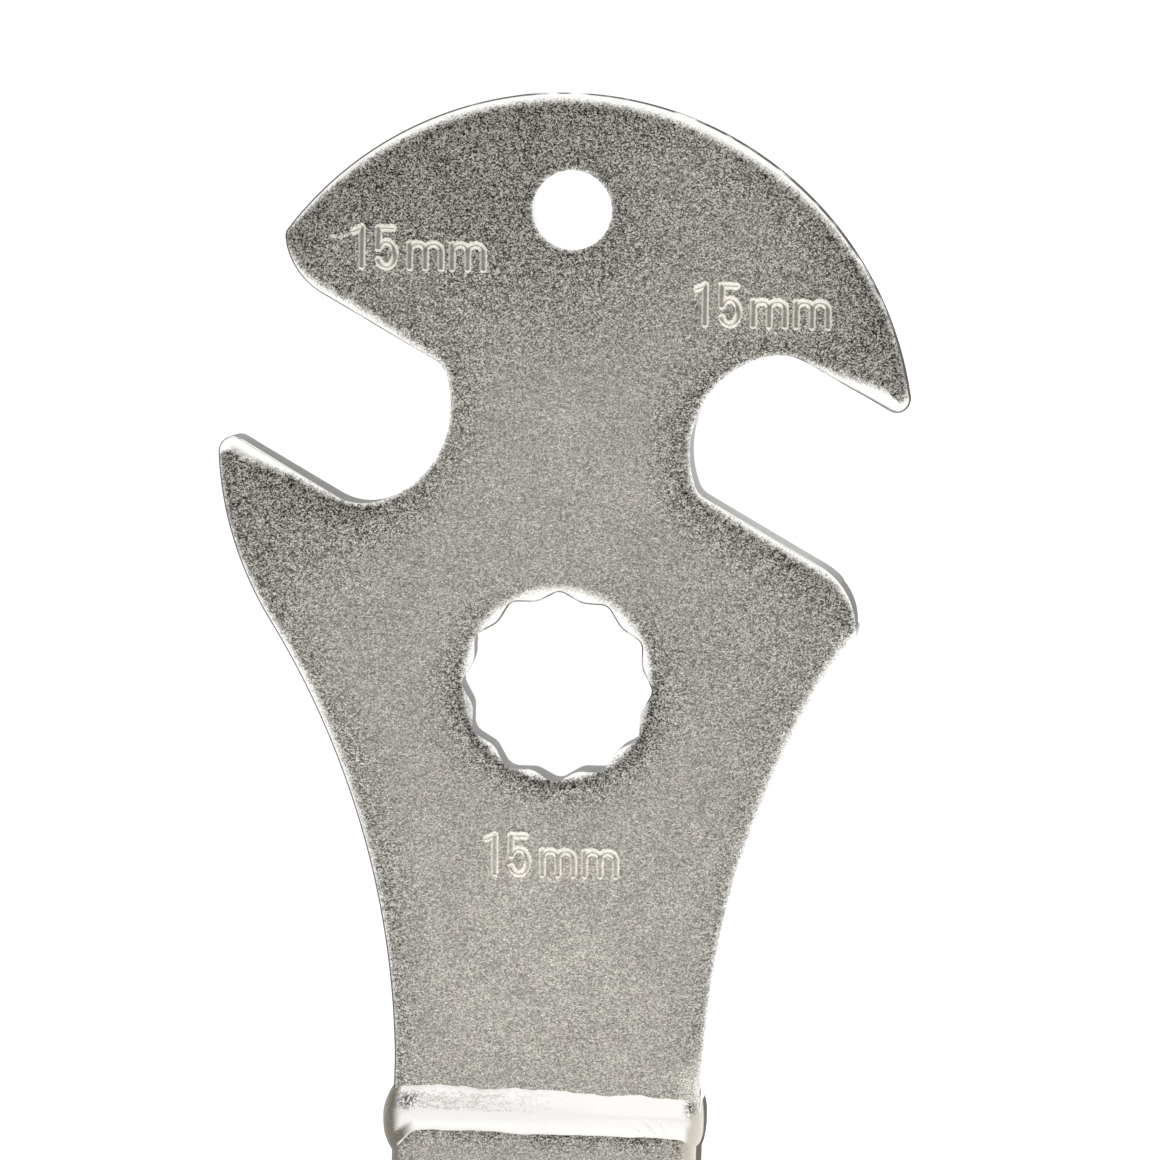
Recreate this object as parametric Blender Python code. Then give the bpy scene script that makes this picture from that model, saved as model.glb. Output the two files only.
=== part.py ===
"""Pedal wrench: a punched steel head plate butt-welded to a flat handle bar.

The wrench lies on its back. +Y runs from the handle to the head, +X is to the right when the stamped
front is looked at, and +Z points up out of the front face. All sizes are in metres.
"""
import math

import bmesh
import bpy
import numpy as np

# Whole wrench
OVERALL_LENGTH = 0.330

# Steel: the head is a punched plate, the handle a slightly thicker bar on the same middle plane
PLATE_THICKNESS = 0.0050
BAR_THICKNESS = 0.0060
BAR_WIDTH = 0.0277
BAR_EDGE_RADIUS = 0.00085
BAR_END_RADIUS = 0.0095

# Head: a disc that a long concave sweep carries down to a neck about as wide as the bar
HEAD_RADIUS = 0.0313
SWEEP_RADIUS = 0.0767
NECK_WIDTH = 0.0275
TAIL_LENGTH = 0.0609
EDGE_ROLL = 0.0008

# Open jaws: one shape and the same shape turned half round, about a point near the disc's centre
SPANNER_SIZE = 0.0150
SPANNER_CLEARANCE = 0.0001
JAW_SLANT = math.radians(28.4)
JAW_PAIR_SHIFT = 0.0005
JAW_PAIR_RISE = 0.0013
JAW_OFFSET = 0.00845
THROAT_REACH = 0.0091
THROAT_RADIUS = 0.0090
THROAT_SHIFT = 0.00027
TIGHT_THROAT_CORNER = 0.00175
WIDE_THROAT_CORNER = 0.0050
MOUTH_FLARE_RADIUS = 0.00645
MOUTH_FLARE_SETBACK = 0.0059
MOUTH_CORNER_RADIUS = 0.0010
TIP_RADIUS = 0.0013

# Twelve-point ring
RING_POINTS = 12
RING_DROP = 0.0219
RING_OUTER_FILLET = 0.0010
RING_INNER_FILLET = 0.0020
RING_COUNTERSINK = 0.0010

# Hanging hole
HANG_HOLE_DIAMETER = 0.0073
HANG_HOLE_MARGIN = 0.0104

# Butt weld: both ends are chamfered all round, and the bead fills the groove and stands proud of it
WELD_CHAMFER = 0.0020
WELD_ROOT = 0.0006
WELD_CROWN = 0.0007
WELD_CORNER_RADIUS = 0.0008
WELD_ROOT_CORNER_RADIUS = 0.0004
FIT_GAP = 0.0003

# Plated steel: colour and roughness
PLATE_FINISH = ((0.52, 0.51, 0.48), 0.42)
WELD_FINISH = ((0.70, 0.69, 0.66), 0.30)
BAR_FINISH = ((0.58, 0.57, 0.54), 0.38)

# Fineness of the curves
ARC_TOLERANCE = 0.00001
ROLL_SEGMENTS = 3
CROWN_SECTIONS = 11
CORNER_SEGMENTS = 4
HANG_HOLE_SIDES = 64
CUTTER_MARGIN = 0.001
SAME_POINT = 0.000001
LONGEST_SWEEP = 1.5 * math.pi
LEVEL_NORMAL = 0.999
SHARP_ANGLE = math.radians(30)

# Sizes that follow from the ones above
JAW_HALF_GAP = (SPANNER_SIZE + SPANNER_CLEARANCE) / 2
HEAD_CENTRE_Y = OVERALL_LENGTH / 2 - HEAD_RADIUS
JOINT_Y = HEAD_CENTRE_Y - TAIL_LENGTH
ROOT_FACE = WELD_ROOT / 2 + FIT_GAP
WELD_TOE = ROOT_FACE + WELD_CHAMFER - FIT_GAP * math.sqrt(2)


class Line:
    """A straight track through a point, run at an angle."""

    def __init__(self, point, angle):
        self.point = np.array(point, dtype=float)
        self.along = np.array([math.cos(angle), math.sin(angle)])
        self.left = np.array([-self.along[1], self.along[0]])

    def offset(self, distance):
        """The parallel track this far to the left of the direction of travel."""
        moved = Line(self.point + distance * self.left, 0.0)
        moved.along, moved.left = self.along, self.left
        return moved

    def foot(self, point):
        """The nearest point of the track."""
        return self.point + self.along * np.dot(point - self.point, self.along)

    def runs_back(self, start, end):
        """Whether going from start to end is against the direction of travel."""
        return np.dot(end - start, self.along) < 0

    def run(self, start, end):
        """The corner points from start to end."""
        return [start, end]


class Circle:
    """A round track, travelled anticlockwise when turn is 1 and clockwise when it is -1."""

    def __init__(self, centre, radius, turn=1):
        self.centre = np.array(centre, dtype=float)
        self.radius = radius
        self.turn = turn

    def offset(self, distance):
        """The parallel track this far to the left of the direction of travel."""
        return Circle(self.centre, self.radius - self.turn * distance, self.turn)

    def foot(self, point):
        """The nearest point of the track."""
        away = point - self.centre
        return self.centre + away * self.radius / np.linalg.norm(away)

    def angle(self, point):
        """The direction from the centre to a point."""
        return math.atan2(point[1] - self.centre[1], point[0] - self.centre[0])

    def sweep(self, start, end):
        """The angle travelled from start to end."""
        return (self.turn * (self.angle(end) - self.angle(start))) % math.tau

    def runs_back(self, start, end):
        """Whether start lies past end, so that only nearly a full turn would join them."""
        return self.sweep(start, end) > LONGEST_SWEEP

    def run(self, start, end):
        """Points along the arc from start to end, close enough to keep the chord tolerance."""
        first = self.angle(start)
        sweep = self.sweep(start, end)
        step = 2 * math.acos(1 - ARC_TOLERANCE / self.radius)
        angles = first + self.turn * np.linspace(0.0, sweep, max(2, math.ceil(sweep / step) + 1))
        return list(self.centre + self.radius * np.column_stack((np.cos(angles), np.sin(angles))))


def meet(first, second, near):
    """The crossing of two tracks that lies nearest to a point."""
    if isinstance(first, Line) and isinstance(second, Line):
        gap = second.point - first.point
        cross = first.along[0] * second.along[1] - first.along[1] * second.along[0]
        reach = (gap[0] * second.along[1] - gap[1] * second.along[0]) / cross
        return first.point + reach * first.along
    if isinstance(first, Line):
        return meet(second, first, near)
    if isinstance(second, Line):
        middle = second.foot(first.centre)
        along = second.along
        half = math.sqrt(first.radius**2 - np.sum((middle - first.centre) ** 2))
    else:
        gap = second.centre - first.centre
        span = np.linalg.norm(gap)
        along = np.array([-gap[1], gap[0]]) / span
        reach = (span**2 + first.radius**2 - second.radius**2) / (2 * span)
        middle = first.centre + gap * reach / span
        half = math.sqrt(first.radius**2 - reach**2)
    crossings = [middle + half * along, middle - half * along]
    return min(crossings, key=lambda crossing: np.linalg.norm(crossing - near))


def join(first, second, radius, near):
    """Where two tracks end and start at their corner, and the points of the fillet between them.

    The radius is positive on an outside corner, negative on an inside corner, 0 on a sharp one, and
    None where the two tracks already touch tangentially.
    """
    if radius is None:
        line_first = isinstance(first, Line)
        point = first.foot(second.centre) if line_first else second.foot(first.centre)
        return point, [], point
    if radius == 0:
        point = meet(first, second, near)
        return point, [], point
    centre = meet(first.offset(radius), second.offset(radius), near)
    leave, enter = first.foot(centre), second.foot(centre)
    fillet = Circle(centre, abs(radius), 1 if radius > 0 else -1)
    return leave, fillet.run(leave, enter), enter


def join_all(corners):
    """The joins of a closed list of corners, each between a track and the one after it."""
    following = [track for track, _, _ in corners[1:] + corners[:1]]
    return [join(track, after, radius, np.array(near, dtype=float))
            for (track, radius, near), after in zip(corners, following)]


def drop_vanished(corners):
    """Leaves out each track that its neighbours have used up, and joins those to each other.

    The new corner is the one of the two old ones that isn't tangential.
    """
    joins = join_all(corners)
    for index, (track, radius, near) in enumerate(corners):
        if track.runs_back(joins[index - 1][2], joins[index][0]):
            kept = list(corners)
            if corners[index - 1][1] is None:
                kept[index - 1] = (corners[index - 1][0], radius, near)
            del kept[index]
            return drop_vanished(kept)
    return corners, joins


def trace(corners):
    """A closed outline from a list of (track, radius to the next track, a point near that corner)."""
    corners, joins = drop_vanished(corners)
    points = []
    for index, (track, _, _) in enumerate(corners):
        start = joins[index - 1][2]
        leave, fillet, _ = joins[index]
        points.extend(track.run(start, leave))
        points.extend(fillet)
    kept = [p for p, q in zip(points, points[1:] + points[:1]) if np.linalg.norm(p - q) > SAME_POINT]
    return np.array(kept)


def jaw_corners(side):
    """The tracks of one open jaw, from its mouth in to the throat and out again to the disc.

    side is 1 for the jaw on the right and -1 for the one on the left. The point of the mouth's corner
    with the disc is given too.
    """
    outward = np.array([math.cos(JAW_SLANT), -math.sin(JAW_SLANT)])
    across = np.array([math.sin(JAW_SLANT), math.cos(JAW_SLANT)])
    outward_angle = -JAW_SLANT if side > 0 else math.pi - JAW_SLANT
    pair_centre = np.array([JAW_PAIR_SHIFT, JAW_PAIR_RISE])

    def place(reach, height):
        """A point of the jaw: reach out along the flanks, height from the jaw's middle line."""
        return pair_centre + side * (reach * outward + (JAW_OFFSET - height) * across)

    flare_start = HEAD_RADIUS - MOUTH_FLARE_SETBACK
    flare = Circle(place(flare_start, JAW_HALF_GAP + MOUTH_FLARE_RADIUS), MOUTH_FLARE_RADIUS)
    flared_flank = Line(place(0.0, JAW_HALF_GAP), outward_angle + math.pi)
    throat_centre = THROAT_REACH + THROAT_RADIUS
    throat = Circle(place(throat_centre, THROAT_SHIFT), THROAT_RADIUS, -1)
    tip_flank = Line(place(0.0, -JAW_HALF_GAP), outward_angle)
    tracks = [
        (flare, None, flare.centre),
        (flared_flank, -TIGHT_THROAT_CORNER, place(THROAT_REACH, JAW_HALF_GAP)),
        (throat, -WIDE_THROAT_CORNER, place(THROAT_REACH, -JAW_HALF_GAP)),
        (tip_flank, TIP_RADIUS, place(HEAD_RADIUS, -JAW_HALF_GAP)),
    ]
    return tracks, place(HEAD_RADIUS, JAW_HALF_GAP)


def head_outline():
    """The head plate's outline, anticlockwise, with the disc's centre at the origin."""
    disc = Circle((0.0, 0.0), HEAD_RADIUS)
    half_width = NECK_WIDTH / 2
    sweep_x = half_width + SWEEP_RADIUS
    sweep_y = -math.sqrt((HEAD_RADIUS + SWEEP_RADIUS) ** 2 - sweep_x**2)
    right_sweep = Circle((sweep_x, sweep_y), SWEEP_RADIUS, -1)
    left_sweep = Circle((-sweep_x, sweep_y), SWEEP_RADIUS, -1)
    tail = ROOT_FACE - TAIL_LENGTH
    tail_end = Line((0.0, tail), 0.0)
    right_side = Line((half_width, 0.0), math.pi / 2)
    left_side = Line((-half_width, 0.0), -math.pi / 2)
    right_jaw, right_mouth = jaw_corners(1)
    left_jaw, left_mouth = jaw_corners(-1)
    return trace([
        (tail_end, 0, (half_width, tail)),
        (right_side, None, (half_width, sweep_y)),
        (right_sweep, None, right_mouth),
        (disc, MOUTH_CORNER_RADIUS, right_mouth),
        *right_jaw,
        (disc, MOUTH_CORNER_RADIUS, left_mouth),
        *left_jaw,
        (disc, None, (-half_width, sweep_y)),
        (left_sweep, None, (-half_width, sweep_y)),
        (left_side, 0, (-half_width, tail)),
    ])


def bar_outline():
    """The handle bar's outline, anticlockwise, with the weld joint's centre at the origin."""
    half_width = BAR_WIDTH / 2
    end = -(JOINT_Y + OVERALL_LENGTH / 2)
    right_side = Line((half_width, 0.0), math.pi / 2)
    top = Line((0.0, -ROOT_FACE), math.pi)
    left_side = Line((-half_width, 0.0), -math.pi / 2)
    bottom = Line((0.0, end), 0.0)
    return trace([
        (right_side, 0, (half_width, 0.0)),
        (top, 0, (-half_width, 0.0)),
        (left_side, BAR_END_RADIUS, (-half_width, end)),
        (bottom, BAR_END_RADIUS, (half_width, end)),
    ])


def ring_outline():
    """The twelve-point hole: two hexagons turned 30 degrees apart, with every corner rounded."""
    apothem = JAW_HALF_GAP
    point_angle = math.tau / RING_POINTS
    outer_radius = apothem / math.cos(math.pi / 6)
    inner_radius = apothem / math.cos(point_angle / 2)
    outer = [outer_radius * np.array([math.cos(a), math.sin(a)]) for a in
             np.arange(RING_POINTS) * point_angle]
    inner = [inner_radius * np.array([math.cos(a), math.sin(a)]) for a in
             (np.arange(RING_POINTS) + 0.5) * point_angle]
    corners = []
    for index in range(RING_POINTS):
        inwards = inner[index] - outer[index]
        outwards = outer[(index + 1) % RING_POINTS] - inner[index]
        corners.append((Line(outer[index], math.atan2(inwards[1], inwards[0])),
                        -RING_INNER_FILLET, inner[index]))
        corners.append((Line(inner[index], math.atan2(outwards[1], outwards[0])),
                        RING_OUTER_FILLET, outer[(index + 1) % RING_POINTS]))
    return trace(corners)


def weld_profile():
    """How far the bead's surface lies along the wrench, and its half thickness and half width there.

    The crown is a parabola over the line from the bar's surface to the plate's.
    """
    across = np.linspace(-1.0, 1.0, CROWN_SECTIONS)
    crown = WELD_CROWN * (1 - across**2)
    thickness = np.interp(across, (-1, 1), (BAR_THICKNESS, PLATE_THICKNESS))
    width = np.interp(across, (-1, 1), (BAR_WIDTH, NECK_WIDTH))
    return across * WELD_TOE, thickness / 2 + crown, width / 2 + crown


# The back of the bead, the lowest point, touches z = 0
MIDDLE_Z = float(np.max(weld_profile()[1]))


def steel(name, finish):
    """A plain metal with one colour and roughness."""
    colour, roughness = finish
    material = bpy.data.materials.new(name)
    material.use_nodes = True
    shader = material.node_tree.nodes["Principled BSDF"]
    shader.inputs["Base Color"].default_value = (*colour, 1.0)
    shader.inputs["Metallic"].default_value = 1.0
    shader.inputs["Roughness"].default_value = roughness
    return material


def collection_named(name):
    """A new collection in the scene."""
    collection = bpy.data.collections.new(name)
    bpy.context.scene.collection.children.link(collection)
    return collection


def add_slab(name, outline, thickness, collection):
    """A flat plate with its middle plane at z = 0, from a closed outline."""
    curve = bpy.data.curves.new(name + "_outline", "CURVE")
    curve.dimensions = "2D"
    curve.fill_mode = "BOTH"
    curve.extrude = thickness / 2
    spline = curve.splines.new("POLY")
    spline.points.add(len(outline) - 1)
    for point, (x, y) in zip(spline.points, outline):
        point.co = (x, y, 0.0, 1.0)
    spline.use_cyclic_u = True
    drawn = bpy.data.objects.new(name + "_curve", curve)
    collection.objects.link(drawn)
    evaluated = drawn.evaluated_get(bpy.context.evaluated_depsgraph_get())
    mesh = bpy.data.meshes.new_from_object(evaluated)
    bpy.data.objects.remove(drawn)
    mesh.name = name
    slab = bpy.data.objects.new(name, mesh)
    collection.objects.link(slab)
    edit = bmesh.new()
    edit.from_mesh(mesh)
    bmesh.ops.remove_doubles(edit, verts=edit.verts, dist=SAME_POINT)
    for level in (1, -1):
        cap = [face for face in edit.faces if face.normal.z * level > LEVEL_NORMAL]
        bmesh.ops.dissolve_faces(edit, faces=cap)
    bmesh.ops.recalc_face_normals(edit, faces=edit.faces)
    edit.to_mesh(mesh)
    edit.free()
    return slab


def chamfer_joint_end(mesh, joint_face_y):
    """Chamfers all four edges of the end face that is welded."""
    edit = bmesh.new()
    edit.from_mesh(mesh)
    end = [edge for edge in edit.edges
           if all(abs(vertex.co.y - joint_face_y) < SAME_POINT for vertex in edge.verts)]
    bmesh.ops.bevel(edit, geom=end, offset=WELD_CHAMFER, segments=1, affect="EDGES")
    edit.to_mesh(mesh)
    edit.free()


def round_rim(mesh, radius, levels, joint_face_y):
    """Rounds the rim of the front face (level 1) and the back face (level -1), up to the weld."""
    edit = bmesh.new()
    edit.from_mesh(mesh)
    edit.normal_update()
    rim = set()
    for face in edit.faces:
        if any(face.normal.z * level > LEVEL_NORMAL for level in levels):
            rim.update(face.edges)
    reach = WELD_CHAMFER + SAME_POINT
    at_weld = [edge for edge in rim
               if all(abs(vertex.co.y - joint_face_y) < reach for vertex in edge.verts)]
    bmesh.ops.bevel(edit, geom=list(rim.difference(at_weld)), offset=radius, segments=ROLL_SEGMENTS,
                    profile=0.5, affect="EDGES")
    edit.to_mesh(mesh)
    edit.free()


def cut(target, cutter, collection):
    """Takes a cutter out of the target, and keeps the cutter as a hidden guide."""
    cutter.hide_render = True
    cutter.display_type = "WIRE"
    for owner in list(cutter.users_collection):
        owner.objects.unlink(cutter)
    collection.objects.link(cutter)
    boolean = target.modifiers.new(cutter.name, "BOOLEAN")
    boolean.operation = "DIFFERENCE"
    boolean.object = cutter


def smooth(piece):
    """Smooth shading on the round stretches, with the corners kept sharp."""
    piece.data.shade_smooth()
    piece.data.set_sharp_from_angle(angle=SHARP_ANGLE)


def add_hanging_hole(plate, cutters):
    """A plain round hole near the top of the head."""
    bpy.ops.mesh.primitive_cylinder_add(
        vertices=HANG_HOLE_SIDES,
        radius=HANG_HOLE_DIAMETER / 2,
        depth=PLATE_THICKNESS + 2 * CUTTER_MARGIN,
        location=(0.0, HEAD_CENTRE_Y + HEAD_RADIUS - HANG_HOLE_MARGIN, MIDDLE_Z),
    )
    hole = bpy.context.object
    hole.name = "hanging_hole_cutter"
    cut(plate, hole, cutters)


def add_ring(plate, parts, cutters):
    """The twelve-point ring and the round countersink that eases its teeth on the front."""
    ring_centre = (0.0, HEAD_CENTRE_Y - RING_DROP, MIDDLE_Z)
    hole = add_slab("ring_cutter", ring_outline(), PLATE_THICKNESS + 2 * CUTTER_MARGIN, parts)
    hole.location = ring_centre
    cut(plate, hole, cutters)
    rim_radius = JAW_HALF_GAP / math.cos(math.pi / 6)
    depth = RING_COUNTERSINK + CUTTER_MARGIN
    bpy.ops.mesh.primitive_cone_add(
        vertices=HANG_HOLE_SIDES,
        radius1=rim_radius - RING_COUNTERSINK,
        radius2=rim_radius + CUTTER_MARGIN,
        depth=depth,
        location=(0.0, ring_centre[1], MIDDLE_Z + PLATE_THICKNESS / 2 - RING_COUNTERSINK + depth / 2),
    )
    countersink = bpy.context.object
    countersink.name = "ring_countersink_cutter"
    cut(plate, countersink, cutters)


def add_head_plate(parts, cutters):
    """The punched head: disc, two open jaws, ring and hanging hole in one plate."""
    plate = add_slab("head_plate", head_outline(), PLATE_THICKNESS, parts)
    joint_face = ROOT_FACE - TAIL_LENGTH
    chamfer_joint_end(plate.data, joint_face)
    round_rim(plate.data, EDGE_ROLL, (1,), joint_face)
    plate.location = (0.0, HEAD_CENTRE_Y, MIDDLE_Z)
    plate.data.materials.append(steel("plated_steel_plate", PLATE_FINISH))
    add_hanging_hole(plate, cutters)
    add_ring(plate, parts, cutters)
    smooth(plate)


def add_handle_bar(parts):
    """The flat bar with all its long edges rounded and its free end rounded in plan."""
    bar = add_slab("handle_bar", bar_outline(), BAR_THICKNESS, parts)
    chamfer_joint_end(bar.data, -ROOT_FACE)
    round_rim(bar.data, BAR_EDGE_RADIUS, (1, -1), -ROOT_FACE)
    bar.location = (0.0, JOINT_Y, MIDDLE_Z)
    bar.data.materials.append(steel("plated_steel_bar", BAR_FINISH))
    smooth(bar)


def rounded_section(half_width, half_thickness, radius, y):
    """A rounded rectangle across the wrench at one place along it."""
    points = []
    for quarter, (side, level) in enumerate(((1, 1), (-1, 1), (-1, -1), (1, -1))):
        angles = quarter * math.pi / 2 + np.linspace(0.0, math.pi / 2, CORNER_SEGMENTS + 1)
        centre = (side * (half_width - radius), level * (half_thickness - radius))
        points.extend((centre[0] + radius * math.cos(a), y, centre[1] + radius * math.sin(a))
                      for a in angles)
    return points


def add_weld_bead(parts):
    """The bead as a loft: up out of the groove, over the crown, and down the other groove."""
    root = WELD_ROOT / 2
    depth = WELD_TOE - root
    along, half_thickness, half_width = weld_profile()
    sections = [rounded_section(BAR_WIDTH / 2 - depth, BAR_THICKNESS / 2 - depth,
                                WELD_ROOT_CORNER_RADIUS, -root)]
    for y, thickness, width in zip(along, half_thickness, half_width):
        sections.append(rounded_section(width, thickness, WELD_CORNER_RADIUS, y))
    sections.append(rounded_section(NECK_WIDTH / 2 - depth, PLATE_THICKNESS / 2 - depth,
                                    WELD_ROOT_CORNER_RADIUS, root))
    edit = bmesh.new()
    loops = [[edit.verts.new(point) for point in section] for section in sections]
    for lower, upper in zip(loops, loops[1:]):
        for index in range(len(lower)):
            after = (index + 1) % len(lower)
            edit.faces.new((lower[index], lower[after], upper[after], upper[index]))
    edit.faces.new(loops[0])
    edit.faces.new(loops[-1])
    bmesh.ops.recalc_face_normals(edit, faces=edit.faces)
    mesh = bpy.data.meshes.new("weld_bead")
    edit.to_mesh(mesh)
    edit.free()
    bead = bpy.data.objects.new("weld_bead", mesh)
    bead.location = (0.0, JOINT_Y, MIDDLE_Z)
    parts.objects.link(bead)
    bead.data.materials.append(steel("plated_weld", WELD_FINISH))
    smooth(bead)


def main():
    """Clears the scene and builds the wrench."""
    for old in list(bpy.data.objects):
        bpy.data.objects.remove(old)
    parts = collection_named("pedal_wrench")
    cutters = collection_named("pedal_wrench_cutters")
    add_head_plate(parts, cutters)
    add_weld_bead(parts)
    add_handle_bar(parts)


main()
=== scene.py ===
"""Looks of a steel pedal wrench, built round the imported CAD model.

The wrench is a stamped head plate with two opposed jaws and a twelve point
ring, a weld bead, and a flat handle bar. Each one gets a skin of its own.
Lengths are in millimetres in the CAD frame until a mesh is made of them. The
studio's lengths and the bump distances are in metres.
"""

import logging
import math
import sys
from collections.abc import Callable
from dataclasses import dataclass, field
from enum import Enum

import bpy
import numpy as np
from mathutils import Matrix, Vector
from mathutils.geometry import delaunay_2d_cdt


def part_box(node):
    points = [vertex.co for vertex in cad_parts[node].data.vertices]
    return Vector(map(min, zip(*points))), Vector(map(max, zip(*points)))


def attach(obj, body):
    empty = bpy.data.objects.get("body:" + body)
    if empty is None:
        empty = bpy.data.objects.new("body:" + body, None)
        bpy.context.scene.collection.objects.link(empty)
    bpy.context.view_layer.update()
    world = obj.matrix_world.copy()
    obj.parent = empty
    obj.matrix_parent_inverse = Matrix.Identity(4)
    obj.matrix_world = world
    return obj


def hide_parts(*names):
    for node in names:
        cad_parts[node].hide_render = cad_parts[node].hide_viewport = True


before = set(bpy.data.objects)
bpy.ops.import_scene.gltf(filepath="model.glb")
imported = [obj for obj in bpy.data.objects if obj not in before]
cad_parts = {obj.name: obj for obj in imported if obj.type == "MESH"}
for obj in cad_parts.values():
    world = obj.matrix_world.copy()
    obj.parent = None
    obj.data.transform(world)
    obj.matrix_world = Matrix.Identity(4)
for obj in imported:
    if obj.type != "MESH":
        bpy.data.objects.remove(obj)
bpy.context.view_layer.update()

LOG = logging.getLogger("pedal_wrench")
MM = 0.001
JOINT_Y = 72.8

# How the CAD edges are read and smoothed
SAME_POINT_MM = 0.0001
LEVEL_MM = 0.01
CORNER_TURN_DEG = 40.0
LIKE_LENGTH = 1.6

# How distances are measured, in blocks of points
CHUNK = 600
FAR_MM = 4.0
COARSE_SKIP = 6
MARK_FAR_MM = 9.0
MARK_NEAR_MM = 0.8

# How faces are filled and shaded
BACK_ROWS = 3
ROW_KEEP = 0.97
SPARSE_ANGLE = 0.6
SHARP_DEG = 38.0

# Sockets of a Mix node for colours
MIX_FACTOR, MIX_FIRST, MIX_SECOND, MIX_RESULT = 0, 6, 7, 2

Pair = tuple[float, float]
Triple = tuple[float, float, float]
Values = np.ndarray | float


class Finish(Enum):
    """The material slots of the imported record."""

    PLATE = "plated_plate"
    WELD = "plated_weld"
    BAR = "plated_bar"


class Trait(Enum):
    """Looks of a slab's edge kept for each contour point, mostly painted light and shade: highlight
    band, wall tone, dark line, shade beside it, its reach and highlight share.
    """

    BAND = "band"
    WALL = "wall"
    LINE = "line"
    GLOOM = "gloom"
    REACH = "reach"
    GLEAM = "gleam"


@dataclass(frozen=True)
class EdgeSpot:
    """How the plate's edge looks beside one place, in millimetres and shares.

    Its values are the place, the widths of the rolled edge and of its painted
    highlight band, the wall's painted tone of light and shade, the strength of
    the painted dark line of shade on the very edge, and how much painted shade
    lies on the grain beside it.
    """

    x: float
    y: float
    roll: float
    band: float
    wall: float
    line: float
    gloom: float


# Columns: x, y, roll width, painted highlight band width, painted wall tone of light and shade,
# painted dark line of shade, painted shade beside the edge.
OUTLINE_SPOTS = tuple(EdgeSpot(*row) for row in (
    (13.8, 75.4, 0.5, 0.30, 0.95, 0.35, 0.0),
    (13.9, 77.3, 0.5, 0.25, 0.95, 0, 0.0),
    (14.1, 79.5, 0.5, 0.15, 0.95, 0, 0.3),
    (15.5, 93.3, 0.6, 0.15, 0.95, 0, 0.3),
    (18.6, 104.3, 1.1, 0.4, 0.95, 0, 0.2),
    (23.7, 112.7, 1.6, 0.85, 0.95, 0, 0.3),
    (26.4, 117.1, 1.4, 0.8, 0.95, 0, 0.5),
    (27.0, 118.4, 0.4, 0.08, 0.06, 0.3, 1.0),
    (26.2, 123.1, 0.8, 0.45, 0.07, 0.2, 1.0),
    (22.8, 125.4, 0.9, 0.58, 0.30, 0, 1.0),
    (17.8, 127.2, 0.8, 0.54, 0.33, 0, 1.0),
    (12.1, 130.6, 0.6, 0.30, 0.24, 0, 0.9),
    (11.2, 134.6, 0.5, 0.18, 0.24, 0, 0.9),
    (13.0, 138.7, 0.5, 0.20, 0.95, 0, 0.7),
    (18.2, 142.4, 0.4, 0.06, 0.95, 0, 0.7),
    (21.1, 141.9, 0.5, 0.2, 0.9, 0.3, 0.6),
    (25.4, 140.1, 1.3, 1.0, 0.3, 0.5, 0.8),
    (27.3, 139.2, 1.9, 1.6, 0.1, 1.0, 0.8),
    (29.0, 138.2, 2.0, 1.8, 0.02, 1.0, 0.9),
    (30.9, 138.7, 1.0, 0.7, 0.02, 0.8, 1.0),
    (30.9, 139.9, 0.4, 0.1, 0.02, 0.8, 1.0),
    (29.1, 145.1, 0.6, 0.18, 0.02, 0.5, 1.1),
    (25.0, 153.4, 1.0, 0.42, 0.02, 0.45, 0.9),
    (14.9, 161.8, 1.4, 0.95, 0.02, 0.55, 0.6),
    (-0.3, 164.4, 1.3, 0.78, 0.02, 0.45, 0.9),
    (-13.7, 160.3, 1.3, 0.78, 0.25, 0.9, 0.7),
    (-23.8, 153.2, 0.9, 0.42, 0.25, 0.9, 1.0),
    (-25.6, 150.8, 0.4, 0.08, 0.25, 1.0, 1.3),
    (-24.9, 149.0, 0.7, 0.4, 0.25, 0.9, 0.7),
    (-23.2, 147.0, 1.1, 0.75, 0.25, 0.7, 0.5),
    (-17.7, 143.9, 1.1, 0.75, 0.25, 0.5, 0.4),
    (-11.3, 140.3, 0.8, 0.4, 0.9, 0.3, 0.7),
    (-10.2, 136.3, 0.4, 0.12, 0.95, 0, 0.6),
    (-11.6, 130.6, 0.4, 0.15, 0.4, 0, 0.6),
    (-15.0, 127.6, 0.4, 0.15, 0.08, 0, 1.0),
    (-19.1, 127.1, 0.5, 0.2, 0.08, 0, 1.2),
    (-24.2, 129.9, 0.8, 0.5, 0.08, 0, 1.2),
    (-28.4, 132.4, 1.6, 1.4, 0.08, 0.2, 1.0),
    (-30.6, 132.5, 1.6, 1.5, 0.16, 0.5, 1.0),
    (-31.1, 131.4, 0.6, 0.2, 0.25, 0.9, 1.2),
    (-30.2, 126.5, 0.6, 0.20, 0.25, 1.0, 0.9),
    (-27.1, 117.6, 0.9, 0.5, 0.25, 1.0, 0.6),
    (-22.3, 110.5, 1.0, 0.65, 0.25, 1.0, 0.4),
    (-16.0, 93.5, 0.8, 0.30, 0.25, 1.0, 0.6),
    (-13.5, 77.2, 0.4, 0.08, 0.25, 0.9, 0.40),
))


def smooth_step(low: float, high: float, value: np.ndarray) -> np.ndarray:
    """Eases from 0 at low to 1 at high by three t squared less two t cubed.

    Args:
        low: Value where the result leaves 0.
        high: Value where the result reaches 1.
        value: Values to ease.

    Returns:
        The eased values, from 0 to 1.
    """
    t = np.clip((value - low) / (high - low), 0.0, 1.0)
    return t * t * (3.0 - 2.0 * t)


def bump(value: np.ndarray, centre: float, width: float) -> np.ndarray:
    """A bell that is 1 at centre and falls as exp of minus the squared offset over width."""
    return np.exp(-(((value - centre) / width) ** 2))


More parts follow.
